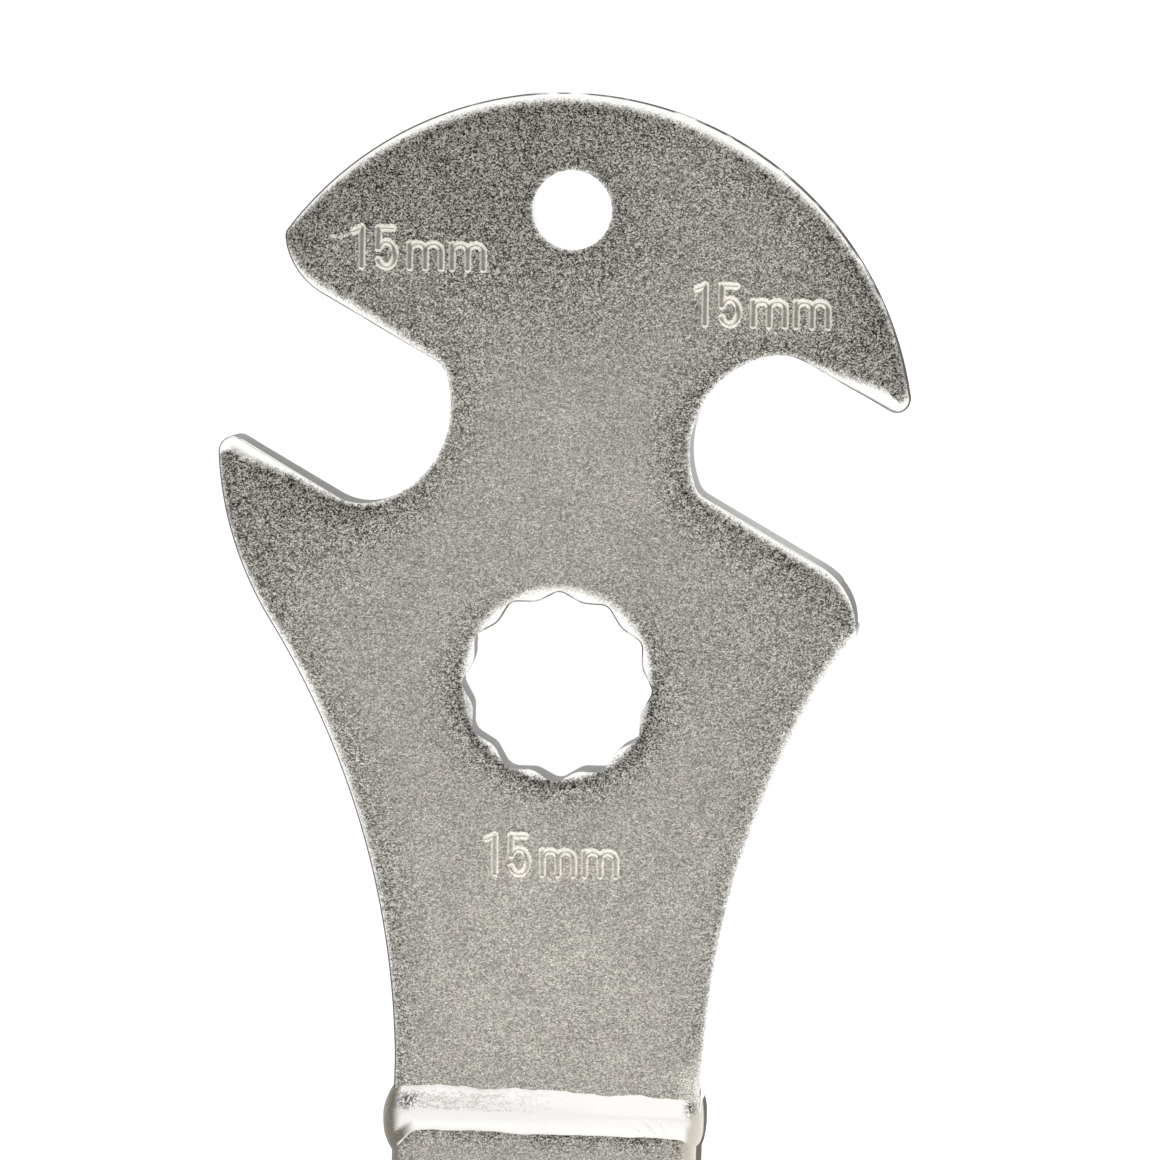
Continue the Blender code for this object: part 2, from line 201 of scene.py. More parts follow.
def waves(value: np.ndarray, seed: int, longest: float, count: int = 5) -> np.ndarray:
    """A gentle random-looking wave along one parameter.

    Formula: a sum of sines, each shorter and lower than the one before, with
    seeded phases, scaled so that the sum stays within about 1.

    Args:
        value: Place along the line.
        seed: Seed of the phases.
        longest: Length of the longest wave, in the unit of value.
        count: Number of sines.

    Returns:
        The height of the wave at each place.
    """
    draw = np.random.default_rng(seed)
    phase = draw.uniform(0.0, 2.0 * np.pi, count)
    stretch = 1.63 ** np.arange(count) * draw.uniform(0.9, 1.1, count)
    share = 0.72 ** np.arange(count)
    turn = 2.0 * np.pi * value[..., None] * stretch / longest + phase
    return (np.sin(turn) * share).sum(-1) / share.sum() * 1.5


def next_pointers(mesh: bpy.types.Mesh, level: float) -> tuple[np.ndarray, np.ndarray]:
    """Border of the triangles that lie at one height, as points and next-pointers.

    Formula: corners at one place count as one point, and a directed edge is
    border if the face doesn't hold its reverse.

    Args:
        mesh: A CAD node's mesh.
        level: Height of the flat face, in metres.

    Returns:
        The border's points in millimetres, and for each the index of the next one.
    """
    mesh.calc_loop_triangles()
    co = np.empty(len(mesh.vertices) * 3)
    mesh.vertices.foreach_get("co", co)
    tri = np.empty(len(mesh.loop_triangles) * 3, dtype=np.int64)
    mesh.loop_triangles.foreach_get("vertices", tri)
    co = co.reshape(-1, 3) / MM
    keys = np.round(co / SAME_POINT_MM).astype(np.int64)
    _, first, same = np.unique(keys, axis=0, return_index=True, return_inverse=True)
    tri = same.reshape(-1)[tri].reshape(-1, 3)
    place = co[first]
    flat = np.all(np.abs(place[tri][:, :, 2] - level / MM) < LEVEL_MM, axis=1)
    tri = tri[flat]
    edge = np.concatenate([tri[:, [1, 0]], tri[:, [2, 1]], tri[:, [0, 2]]])
    code = edge[:, 0] * len(place) + edge[:, 1]
    reverse = edge[:, 1] * len(place) + edge[:, 0]
    edge = edge[~np.isin(code, reverse)]
    used, short = np.unique(edge, return_inverse=True)
    short = short.reshape(-1, 2)
    following = np.empty(len(used), dtype=np.int64)
    following[short[:, 0]] = short[:, 1]
    return place[used][:, :2], following


def ordered_loops(points: np.ndarray, following: np.ndarray) -> list[np.ndarray]:
    """Sorts border points into closed loops, the longest first.

    Formula: pointer doubling. Each round looks twice as far ahead, so a loop's
    lowest index reaches all its points, and so does the walk back to it.

    Args:
        points: The border points.
        following: For each point the index of the next one.

    Returns:
        One array of points for each loop, in order round it.
    """
    index = np.arange(len(following))
    rounds = int(math.ceil(math.log2(len(following)))) + 1
    label, jump = index.copy(), following.copy()
    for _ in range(rounds):
        label, jump = np.minimum(label, label[jump]), jump[jump]
    head = label == index
    walk, jump = np.where(head, 0, 1), np.where(head, index, following)
    for _ in range(rounds):
        walk, jump = walk + walk[jump], jump[jump]
    order = np.lexsort((np.where(head, -len(index) - 1, -walk), label))
    cuts = np.flatnonzero(np.diff(label[order])) + 1
    loops = [points[part] for part in np.split(order, cuts)]
    return sorted(loops, key=lambda loop: -len_of(loop))


def len_of(loop: np.ndarray) -> float:
    """Length of a closed line."""
    return float(np.linalg.norm(np.roll(loop, -1, 0) - loop, axis=1).sum())


def smooth_loop(points: np.ndarray, spacing: float) -> np.ndarray:
    """Resamples a closed line of chords as the smooth curve it stands for.

    Formula: a cubic between neighbours whose heading at a point is the mean of
    both chords, each weighted by the other's length, as on a circle. Beside a
    much longer chord the heading is that chord's, so straight parts stay
    straight, and a sharp corner keeps two headings.

    Args:
        points: Corners of the closed line.
        spacing: Longest step of the result.

    Returns:
        The resampled points.
    """
    chord = np.roll(points, -1, 0) - points
    length = np.linalg.norm(chord, axis=1)[:, None]
    unit = chord / length
    back_length, back_unit = np.roll(length, 1, 0), np.roll(unit, 1, 0)
    mean = unit * back_length + back_unit * length
    mean /= np.linalg.norm(mean, axis=1)[:, None]
    longer = np.where(length > back_length, unit, back_unit)
    alike = np.abs(np.log(length / back_length)) < math.log(LIKE_LENGTH)
    heading = np.where(alike, mean, longer)
    corner = (unit * back_unit).sum(1) < math.cos(math.radians(CORNER_TURN_DEG))
    leaving = np.where(corner[:, None], unit, heading) * length
    reaching = np.roll(np.where(corner[:, None], back_unit, heading), -1, 0) * length
    count = np.maximum(1, np.ceil(length[:, 0] / spacing)).astype(int)
    edge = np.repeat(np.arange(len(points)), count)
    t = np.arange(count.sum()) - np.repeat(np.cumsum(count) - count, count)
    t = (t / count[edge])[:, None]
    start, end = points[edge], np.roll(points, -1, 0)[edge]
    return (
        (2 * t**3 - 3 * t**2 + 1) * start
        + (t**3 - 2 * t**2 + t) * leaving[edge]
        + (3 * t**2 - 2 * t**3) * end
        + (t**3 - t**2) * reaching[edge]
    )


def inward(loop: np.ndarray) -> np.ndarray:
    """Unit normals of a closed line, to its left, where the material is.

    Args:
        loop: The closed line.

    Returns:
        The normal at each point.
    """
    run = np.roll(loop, -1, 0) - np.roll(loop, 1, 0)
    run /= np.linalg.norm(run, axis=1)[:, None]
    return np.stack([-run[:, 1], run[:, 0]], axis=1)


def nearest(points: np.ndarray, loops: list[np.ndarray]) -> tuple[np.ndarray, np.ndarray]:
    """Distance from points to closed lines.

    Formula: each point is dropped at a right angle on every segment, held to
    the segment's ends, and the shortest drop is kept. Every COARSE_SKIP-th
    corner is tried first, and a point farther than FAR_MM from all of those
    keeps that distance.

    Args:
        points: Points in the plane.
        loops: Closed lines.

    Returns:
        The distance, and the index of the nearest segment counted over all lines.
    """
    start = np.concatenate(loops).astype(np.float32)
    run = np.concatenate([np.roll(loop, -1, 0) - loop for loop in loops]).astype(np.float32)
    square = (run**2).sum(1)
    far = np.empty(len(points), dtype=np.float32)
    which = np.zeros(len(points), dtype=np.int64)
    spots = points.astype(np.float32)
    for low in range(0, len(points), CHUNK):
        x = spots[low : low + CHUNK, :1] - start[::COARSE_SKIP, 0]
        y = spots[low : low + CHUNK, 1:] - start[::COARSE_SKIP, 1]
        far[low : low + CHUNK] = np.sqrt((x * x + y * y).min(1))
    close = np.flatnonzero(far < FAR_MM)
    for low in range(0, len(close), CHUNK):
        own = close[low : low + CHUNK]
        x, y = spots[own, :1] - start[:, 0], spots[own, 1:] - start[:, 1]
        t = np.clip((x * run[:, 0] + y * run[:, 1]) / square, 0.0, 1.0)
        x -= t * run[:, 0]
        y -= t * run[:, 1]
        span = x * x + y * y
        which[own] = span.argmin(1)
        far[own] = np.sqrt(span.min(1))
    return far.astype(float), which


def inside(points: np.ndarray, loops: list[np.ndarray]) -> np.ndarray:
    """Whether points lie in the material.

    Formula: a ray to the right crosses an odd number of edges.

    Args:
        points: Points in the plane.
        loops: The closed lines round the material.

    Returns:
        True for each point that is inside.
    """
    start = np.concatenate(loops)
    end = np.concatenate([np.roll(loop, -1, 0) for loop in loops])
    odd = np.zeros(len(points), dtype=bool)
    rise = end - start
    rise[:, 1] = np.where(rise[:, 1] == 0.0, 1e-12, rise[:, 1])
    for low in range(0, len(points), CHUNK):
        x, y = points[low : low + CHUNK, :1], points[low : low + CHUNK, 1:]
        spans = (start[:, 1] > y) != (end[:, 1] > y)
        at = start[:, 0] + (y - start[:, 1]) * rise[:, 0] / rise[:, 1]
        odd[low : low + CHUNK] = (spans & (at > x)).sum(1) % 2 == 1
    return odd


def spread(loop: np.ndarray, spots: tuple[EdgeSpot, ...]) -> dict[str, np.ndarray]:
    """Carries the values of some spots along a closed line.

    Formula: each spot is dropped on the line's nearest point, and its values
    run evenly to the next spot's by the length along the line.

    Args:
        loop: The closed line.
        spots: The spots beside it.

    Returns:
        For each of the spots' values an array with one value a point.
    """
    step = np.linalg.norm(np.roll(loop, -1, 0) - loop, axis=1)
    at = np.cumsum(step) - step
    places = np.array([(spot.x, spot.y) for spot in spots])
    gap = np.linalg.norm(loop[:, None, :] - places, axis=2)
    known = at[gap.argmin(0)]
    return {
        name: np.interp(at, known, [getattr(spot, name) for spot in spots], period=step.sum())
        for name in ("roll", "band", "wall", "line", "gloom")
    }


def hex_grid(low: np.ndarray, high: np.ndarray, step: float) -> np.ndarray:
    """Points of a triangular grid in a box: every other row is shifted by half a step.

    Args:
        low: Lower left corner of the box.
        high: Upper right corner.
        step: Spacing of the points.

    Returns:
        The points.
    """
    rows = np.arange(low[1], high[1], step * math.sqrt(0.75))
    cols = np.arange(low[0], high[0], step)
    x, y = np.meshgrid(cols, rows)
    x = x + (np.arange(len(rows)) % 2)[:, None] * step / 2.0
    return np.stack([x.ravel(), y.ravel()], axis=1)


@dataclass
class Shell:
    """Vertices, triangles and point attributes of a mesh that is being put together."""

    points: list[np.ndarray] = field(default_factory=list)
    faces: list[np.ndarray] = field(default_factory=list)
    marks: list[dict[str, np.ndarray]] = field(default_factory=list)
    total: int = 0

    def add(self, points: np.ndarray, marks: dict[str, np.ndarray]) -> np.ndarray:
        """Adds vertices and returns their indices.

        Args:
            points: Places in millimetres.
            marks: Attribute values, one for each vertex.

        Returns:
            The indices of the new vertices.
        """
        index = np.arange(self.total, self.total + len(points))
        self.points.append(points)
        self.marks.append(marks)
        self.total += len(points)
        return index

    def rows(self, grid: np.ndarray) -> None:
        """Joins the rows of a grid of vertices by two triangles a cell.

        Args:
            grid: Indices of the vertices; each row closes on itself.
        """
        a, b = grid[:-1], np.roll(grid[:-1], -1, 1)
        c, d = np.roll(grid[1:], -1, 1), grid[1:]
        self.faces.append(np.stack([a, d, c], -1).reshape(-1, 3))
        self.faces.append(np.stack([a, c, b], -1).reshape(-1, 3))

    def build(self, name: str) -> bpy.types.Object:
        """Makes the finished object, at the origin, with its place in its mesh.

        Args:
            name: Name of the piece.

        Returns:
            The new object, smooth apart from its sharp edges.
        """
        places = np.concatenate(self.points) * MM
        triangles = np.concatenate(self.faces)
        mesh = bpy.data.meshes.new(name)
        mesh.vertices.add(len(places))
        mesh.vertices.foreach_set("co", places.astype(np.float32).ravel())
        mesh.loops.add(triangles.size)
        mesh.loops.foreach_set("vertex_index", triangles.astype(np.int32).ravel())
        mesh.polygons.add(len(triangles))
        starts = np.arange(0, triangles.size, 3, dtype=np.int32)
        mesh.polygons.foreach_set("loop_start", starts)
        mesh.update(calc_edges=True)
        mesh.polygons.foreach_set("use_smooth", np.ones(len(triangles), dtype=bool))
        for key in self.marks[0]:
            values = np.concatenate([mark[key] for mark in self.marks])
            made = mesh.attributes.new(key, "FLOAT", "POINT")
            made.data.foreach_set("value", values.astype(np.float32))
        mesh.set_sharp_from_angle(angle=math.radians(SHARP_DEG))
        mesh.validate()
        piece = bpy.data.objects.new(name, mesh)
        bpy.context.scene.collection.objects.link(piece)
        return piece


@dataclass(frozen=True)
class SizeMark:
    """A pressed size mark, the plain number 15 and the unit mm, drawn by a round punch.

    Its corner is the lower left end of the text in millimetres, and its lines
    are the middle of each stroke. Clean is how far the punch smooths the grain
    and how strongly the grooves take their painted highlight, and the burr is a
    share of the depth, an offset from the stroke and a width.
    """

    corner: Pair
    tilt_deg: float = 0.0
    clean: float = 1.0
    half_width: float = 0.29
    depth: float = 0.12
    upright_loss: float = 0.2
    burr: Triple = (0.12, 0.08, 0.09)
    reach: Pair = (12.6, 4.4)

    @staticmethod
    def arc(centre: Pair, radii: Pair, turn: Pair, steps: int) -> np.ndarray:
        """Points of an elliptical arc: centre plus each radius times cosine and sine.

        Args:
            centre: Centre of the ellipse.
            radii: Its half width and half height.
            turn: First and last angle in degrees.
            steps: Number of segments.

        Returns:
            The points along the arc.
        """
        angle = np.radians(np.linspace(turn[0], turn[1], steps + 1))
        wide, tall = radii[0] * np.cos(angle), radii[1] * np.sin(angle)
        return np.stack([centre[0] + wide, centre[1] + tall], axis=1)

    def strokes(self) -> list[np.ndarray]:
        """Middle lines of the strokes.

        Returns:
            Points along each line, in millimetres from the text's corner.
        """
        lines = [
            np.array([(0.94, 0.30), (0.94, 3.76)]),
            np.array([(0.20, 3.42), (0.94, 3.74)]),
            np.array([(2.42, 1.98), (2.42, 3.76), (3.72, 3.76)]),
            self.arc((3.14, 1.42), (0.79, 1.13), (152.0, -153.0), 26),
        ]
        for first in (5.26, 9.08):
            lines.append(np.array([(first, 0.30), (first, 2.42)]))
            for leg in (first + 1.41, first + 2.82):
                crown = self.arc((leg - 0.705, 1.78), (0.705, 0.66), (172.0, 0.0), 12)
                lines.append(np.concatenate([crown, [(leg, 0.30)]]))
        return lines

    def press(self, points: np.ndarray) -> np.ndarray:
        """How deep the punch has pressed the plate at each point.

        Formula: full depth times one less the square of the offset over the
        half width, with a low burr raised just outside it. Upright strokes
        are shallower.

        Args:
            points: Points of the plate's face.

        Returns:
            Depth in millimetres, below 0 on the burr.
        """
        off, upright = self.stroke_at(points)
        sunk = np.clip(1.0 - (off / self.half_width) ** 2, 0.0, 1.0)
        depth = self.depth * (1.0 - self.upright_loss * upright)
        share, away, width = self.burr
        return depth * (sunk - share * bump(off, self.half_width + away, width))

    def burnish_and_shade(self, points: np.ndarray) -> tuple[np.ndarray, np.ndarray]:
        """How far the punch has smoothed the grain away, which also sets the painted highlight in
        the grooves.

        Args:
            points: Points of the plate's face.

        Returns:
            The share from 0 to 1, and the same in the core of upright strokes only, which takes
            painted shade.
        """
        off, upright = self.stroke_at(points)
        share = self.clean * smooth_step(self.half_width + 0.12, self.half_width - 0.02, off)
        core = smooth_step(self.half_width - 0.03, self.half_width - 0.19, off)
        return share, share * upright * core

    def offset(self, points: np.ndarray) -> np.ndarray:
        """Distance of points from the nearest stroke's middle line."""
        return self.stroke_at(points)[0]

    def stroke_at(self, points: np.ndarray) -> tuple[np.ndarray, np.ndarray]:
        """Distance of points from the nearest stroke's middle line, and how upright it is.

        Formula: points are turned into the text's own axes, and those in its
        box are dropped on every piece of the strokes. The upright share is the
        fourth power of the nearest piece's rise over its length.

        Args:
            points: Points of the plate's face.

        Returns:
            The distances, MARK_FAR_MM if far away, and the shares from 0 to 1.
        """
        away, upright = np.full(len(points), MARK_FAR_MM), np.zeros(len(points))
        angle, off = math.radians(self.tilt_deg), points - np.array(self.corner)
        along = off[:, 0] * math.cos(angle) + off[:, 1] * math.sin(angle)
        up = off[:, 1] * math.cos(angle) - off[:, 0] * math.sin(angle)
        own, high = np.stack([along, up], axis=1), np.array(self.reach) + MARK_NEAR_MM
        close = np.flatnonzero(np.all((own > -MARK_NEAR_MM) & (own < high), axis=1))
        if not len(close):
            return away, upright
        own = own[close]
        start = np.concatenate([line[:-1] for line in self.strokes()])
        run = np.concatenate([np.diff(line, axis=0) for line in self.strokes()])
        square = (run**2).sum(1)
        gap = own[:, None, :] - start
        t = np.clip((gap * run).sum(2) / square, 0.0, 1.0)
        span = ((gap - t[:, :, None] * run) ** 2).sum(2)
        away[close] = np.sqrt(span.min(1))
        upright[close] = (run[:, 1] ** 2 / square)[span.argmin(1)] ** 2
        return away, upright


@dataclass(frozen=True)
class Scratch(SizeMark):
    """A short shallow scratch that starts at its corner."""

    half_width: float = 0.07
    depth: float = 0.04
    reach: Pair = (1.8, 0.6)

    def strokes(self) -> list[np.ndarray]:
        """The scratch's one bent line."""
        return [np.array([(0.0, 0.1), (0.8, 0.0), (1.7, 0.3)])]


@dataclass(frozen=True)
class Countersink:
    """A nearly round sink in a slab's front face, in millimetres.

    Formula: inside its rim the face falls in proportion to the distance from
    the rim, and the start of the slope is rounded by a square root. The rim's
    radius is less on one side, by its dip times a power of the cosine.
    """

    centre: Pair
    radius: float
    slope: float
    soft: float = 0.14
    dip: float = 0.45
    side_deg: float = -11.0
    seed_offsets: tuple[float, ...] = (-0.34, -0.17, 0.0, 0.17, 0.4)

    def past(self, points: np.ndarray) -> np.ndarray:
        """Distance of points beyond the rim.

        Args:
            points: Points of the face.

        Returns:
            The distances, below 0 inside the rim.
        """
        way = points - np.array(self.centre)
        turn = np.arctan2(way[:, 1], way[:, 0]) - math.radians(self.side_deg)
        rim = self.radius - self.dip * np.clip(np.cos(turn), 0.0, 1.0) ** 12
        return np.linalg.norm(way, axis=1) - rim

    def drop(self, points: np.ndarray) -> np.ndarray:
        """How far the face is sunk.

        Args:
            points: Points of the face.

        Returns:
            The depth at each point, 0 well outside the rim.
        """
        run = -self.past(points)
        bend = 0.5 * self.slope * (run + np.sqrt(run**2 + self.soft**2))
        return np.maximum(bend - 0.25 * self.soft * self.slope, 0.0)

    def seeds(self, step: float) -> np.ndarray:
        """Points on rings beside the rim, so that the mesh can follow the start of the slope.

        Args:
            step: Spacing of the points along the rim.

        Returns:
            The points.
        """
        count = int(2.0 * math.pi * self.radius / step)
        turn = np.linspace(0.0, 2.0 * np.pi, count, endpoint=False)
        rings = self.radius + np.array(self.seed_offsets)[:, None]
        x = self.centre[0] + rings * np.cos(turn)
        y = self.centre[1] + rings * np.sin(turn)
        return np.stack([x.ravel(), y.ravel()], axis=1)


@dataclass
class Contour:
    """A closed edge of a slab: front roll, lean of the wall and looks at each point."""

    loop: np.ndarray
    roll_width: np.ndarray
    roll_depth: np.ndarray
    lean: np.ndarray
    looks: dict[Trait, np.ndarray]

    @classmethod
    def of(cls, loop: np.ndarray, width: Values, depth: Values, lean: Values,
           **looks: Values) -> "Contour":
        """Builds a contour from values that are the same all along or given for each point.

        Args:
            loop: The closed line.
            width: Width of the front roll.
            depth: Depth of the front roll.
            lean: How far the wall leans in at the back.
            **looks: The traits by name.

        Returns:
            The contour.
        """
        def each(value: Values) -> np.ndarray:
            """One value for each point."""
            return value + np.zeros(len(loop))

        traits = {Trait(name): each(value) for name, value in looks.items()}
        return cls(loop, each(width), each(depth), each(lean), traits)


def fill(points: np.ndarray, loops: list[np.ndarray]) -> tuple[np.ndarray, np.ndarray, np.ndarray]:
    """Triangles over points, held to the closed lines that the points start with.

    Formula: a constrained Delaunay triangulation; a triangle that touches a
    line stays if its middle is inside the material.

    Args:
        points: The points of the lines, then all others.
        loops: The closed lines, material on their left.

    Returns:
        The points, the triangles, and the index of each point of the lines.
    """
    sizes = np.array([len(loop) for loop in loops])
    first = np.repeat(np.cumsum(sizes) - sizes, sizes)
    index = np.arange(sizes.sum())
    after = first + (index - first + 1) % np.repeat(sizes, sizes)
    edges = np.stack([index, after], axis=1)
    made = delaunay_2d_cdt(points.tolist(), edges.tolist(), [], 0, 1e-7)
    out, faces, source = np.array([tuple(v) for v in made[0]]), np.array(made[2]), made[3]
    owner = np.repeat(np.arange(len(source)), [len(s) for s in source])
    line = np.empty(len(points), dtype=np.int64)
    line[np.concatenate([np.array(s) for s in source if s])] = owner
    line = line[: len(index)]
    on_line = np.zeros(len(out), dtype=bool)
    on_line[line] = True
    doubt = on_line[faces].any(1)
    keep = np.ones(len(faces), dtype=bool)
    keep[doubt] = inside(out[faces[doubt]].mean(1), loops)
    return out, faces[keep], line


@dataclass
class Slab:
    """A flat piece: two faces joined by walls along its contours.

    The front face rolls down to each contour by a quarter ellipse whose width
    and depth vary along it. The walls lean in by the contour's own amount at
    the back, and the back edge is broken by a small quarter ellipse. Mark reach
    and sink gap are how far the finer grids go out from strokes and rims.
    """

    front: float
    back: float
    contours: list[Contour]
    back_roll: Pair
    grid_step: float
    back_step: float
    roll_rows: int = 8
    wall_rows: int = 4
    marks: tuple[SizeMark, ...] = ()
    sinks: tuple[Countersink, ...] = ()
    mark_step: float = 0.07
    mark_reach: Pair = (0.5, 0.62)
    ring_step: float = 0.17
    sink_gap: float = 0.6
    seed_gap: float = 0.06
    overcast: Callable[[np.ndarray], np.ndarray] | None = None

    def loops(self) -> list[np.ndarray]:
        """The contours' points."""
        return [contour.loop for contour in self.contours]

    def front_height(self, points: np.ndarray) -> tuple[np.ndarray, np.ndarray, np.ndarray]:
        """Height of the front face, and distance and index of the nearest contour point.

        Formula: at distance d from a contour with a roll of width w and depth
        h, the face is lower by h times one less the root of one less the
        square of (w - d) over w, and by its marks and sinks.

        Args:
            points: Points of the face in millimetres.

        Returns:
            The heights, the distances from the nearest contour, and its point's index.
        """
        off, which = nearest(points, self.loops())
        width = np.concatenate([c.roll_width for c in self.contours])[which]
        depth = np.concatenate([c.roll_depth for c in self.contours])[which]
        rest = np.clip(1.0 - off / width, 0.0, 1.0)
        drop = depth * (1.0 - np.sqrt(1.0 - rest**2))
        rise = np.zeros(len(points))
        for mark in self.marks:
            rise = rise - mark.press(points)
        for sink in self.sinks:
            rise = rise - sink.drop(points)
        return self.front - drop + rise, off, which

    def back_height(self, points: np.ndarray, loops: list[np.ndarray]) -> np.ndarray:
        """Height of the back face: a quarter ellipse along each contour, and flat inside.

        Args:
            points: Points of the face.
            loops: The closed lines that it ends at.

        Returns:
            The heights.
        """
        off, _ = nearest(points, loops)
        rest = np.clip(1.0 - off / self.back_roll[0], 0.0, 1.0)
        return self.back + self.back_roll[1] * (1.0 - np.sqrt(1.0 - rest**2))

    def sheet(self, loops: list[np.ndarray], widths: list[np.ndarray],
              front: bool) -> tuple[np.ndarray, np.ndarray, np.ndarray]:
        """Triangles that fill the space between closed lines.

        Formula: rows of points follow each line at w times one less the sine
        of even angles, and a triangular grid fills the rest, finer at the size
        marks and at the rims of the sinks.

        Args:
            loops: The closed lines, material on their left.
            widths: Width of the roll at each of their points.
            front: Whether it is the front face.

        Returns:
            The points, the triangles, and the index of each point of the lines.
        """
        rows, step = (self.roll_rows, self.grid_step) if front else (BACK_ROWS, self.back_step)
        border = np.concatenate(loops)
        inner = []
        for loop, width in zip(loops, widths):
            for angle in np.linspace(0.5 * np.pi, 0.0, rows + 1)[1:]:
                off = width * (1.0 - math.sin(angle))
                row = loop + inward(loop) * off[:, None]
                keep = nearest(row, loops)[0] > ROW_KEEP * off
                every = 2 if angle < SPARSE_ANGLE else 1
                inner.append(row[keep & (np.arange(len(row)) % every == 0)])
        grid = hex_grid(border.min(0), border.max(0), step)
        for mark in self.marks if front else ():
            grid = grid[mark.offset(grid) > self.mark_reach[1]]
            box = np.array(mark.corner)
            fine = hex_grid(box - 1.0, box + np.array(mark.reach) + 1.0, self.mark_step)
            grid = np.concatenate([grid, fine[mark.offset(fine) < self.mark_reach[0]]])
        grid = grid[inside(grid, loops)]
        gap, which = nearest(grid, loops)
        grid = grid[gap > np.concatenate(widths)[which] + 0.5 * step]
        for sink in self.sinks if front else ():
            seeds = sink.seeds(self.ring_step)
            seeds = seeds[inside(seeds, loops)]
            seeds = seeds[nearest(seeds, loops)[0] > self.seed_gap]
            grid = np.concatenate([grid[np.abs(sink.past(grid)) > self.sink_gap], seeds])
        return fill(np.concatenate([border, *inner, grid]), loops)

    def shell(self) -> Shell:
        """Puts the front face, the walls and the back face together.

        Returns:
            The closed shell, with its attributes.
        """
        shell = Shell()
        widths = [contour.roll_width for contour in self.contours]
        flat, faces, line = self.sheet(self.loops(), widths, True)
        height, off, which = self.front_height(flat)
        front = shell.add(np.column_stack([flat, height]), self.attributes(flat, off, which, line))
        shell.faces.append(front[faces])
        behind = [c.loop + inward(c.loop) * c.lean[:, None] for c in self.contours]
        widths = [np.full(len(loop), self.back_roll[0]) for loop in behind]
        flat, faces, back_line = self.sheet(behind, widths, False)
        under = self.back_height(flat, behind)
        off, which = nearest(flat, behind)
        looks = self.attributes(flat, off, which, back_line, False)
        back = shell.add(np.column_stack([flat, under]), looks)
        shell.faces.append(back[faces][:, ::-1])
        start = 0
        for contour in self.contours:
            which = np.arange(start, start + len(contour.loop))
            top, foot = line[which], back_line[which]
            body = self.wall(contour, height[top], under[foot])
            rows = len(body) // len(which)
            looks = self.attributes(
                body[:, :2], np.zeros(len(body)), np.tile(which, rows), slice(None), False)
            middle = shell.add(body, looks).reshape(rows, -1)
            shell.rows(np.vstack([front[top], middle, back[foot]]))
            start += len(which)
        return shell

    def wall(self, contour: Contour, high: np.ndarray, low: np.ndarray) -> np.ndarray:
        """Points of the wall between the two faces along one contour.

        Formula: each row is an even step lower, and is moved in by the lean
        times the share of the way down to the power of one and a half.

        Args:
            contour: The contour.
            high: Height of the front edge at its points.
            low: Height of the back edge there.

        Returns:
            The points, row by row from the front.
        """
        share = np.linspace(0.0, 1.0, self.wall_rows + 1)[1:-1, None]
        lean = contour.lean * share**1.5
        z = high + (low - high) * share
        grid = contour.loop + inward(contour.loop) * lean[:, :, None]
        return np.concatenate([grid, z[:, :, None]], axis=2).reshape(-1, 3)

    def pick(self, trait: Trait, which: np.ndarray) -> np.ndarray:
        """One of the edge looks at contour points that are counted over all contours."""
        return np.concatenate([contour.looks[trait] for contour in self.contours])[which]

    def attributes(self, points: np.ndarray, off: np.ndarray, which: np.ndarray,
                   on_wall: np.ndarray | slice, front: bool = True) -> dict[str, np.ndarray]:
        """Attributes of some vertices.

        Formula: the gloom, a painted shade beside an edge, fades as exp of minus
        the distance from the painted highlight band over its reach, and the
        overcast, a painted shade by place, is laid over it.

        Args:
            points: Their places in the plane.
            off: Distance from the edge in millimetres.
            which: Index of the nearest contour point.
            on_wall: Which of the vertices belong to a wall.
            front: Whether they belong to the front face.

        Returns:
            The attributes by name.
        """
        wall = np.zeros(len(points))
        wall[on_wall] = 1.0
        beyond = off - (self.pick(Trait.BAND, which) if front else 0.7 * self.back_roll[0])
        pressed, upright_shade = np.zeros(len(points)), np.zeros(len(points))
        for sink in self.sinks if front else ():
            beyond = np.minimum(beyond, sink.past(points))
        for mark in self.marks if front else ():
            share, upright = mark.burnish_and_shade(points)
            pressed, upright_shade = np.maximum(pressed, share), np.maximum(upright_shade, upright)
        gloom = np.exp(-np.maximum(beyond, 0.0) / self.pick(Trait.REACH, which))
        gloom = gloom * self.pick(Trait.GLOOM, which)
        if self.overcast is not None:
            gloom = 1.0 - (1.0 - gloom) * (1.0 - self.overcast(points))
        # gloom is painted shade; wall_tone, line and gleam carry the walls' painted light and
        # shade, the painted dark line and the roll's painted highlight share.
        return {
            "edge_mm": off,
            "band_mm": beyond,
            "wall": wall,
            "pressed": pressed,
            "upright_shade": upright_shade,
            "gloom": gloom,
            "wall_tone": self.pick(Trait.WALL, which),
            "line": self.pick(Trait.LINE, which),
            "gleam": self.pick(Trait.GLEAM, which),
        }


def maths_operator(name: str,
                   swapped: bool = False) -> Callable[["Wire", "Wire | float"], "Wire"]:
    """Makes an operator of wires that adds a Math node.

    Args:
        name: The node's operation.
        swapped: Whether it is a reflected form, with the wire on the right.

    Returns:
        The method.
    """
    def method(wire: "Wire", other: "Wire | float") -> "Wire":
        """The operation on a wire and another wire or number."""
        return wire.net.maths(name, *((other, wire) if swapped else (wire, other)))

    return method


@dataclass(frozen=True)
class Wire:
    """A node's output socket. Operators between wires and numbers add Math nodes."""

    net: "Net"
    socket: bpy.types.NodeSocket | None

    __add__ = __radd__ = maths_operator("ADD")
    __sub__ = maths_operator("SUBTRACT")
    __rsub__ = maths_operator("SUBTRACT", True)
    __mul__ = __rmul__ = maths_operator("MULTIPLY")
    __truediv__ = maths_operator("DIVIDE")

    def ease(self, low: float, high: float, first: float = 0.0, last: float = 1.0) -> "Wire":
        """Eases from first at low to last at high, and stays there outside."""
        return self.net.node("ShaderNodeMapRange", {"interpolation_type": "SMOOTHSTEP"},
                             dict(enumerate((self, low, high, first, last))))


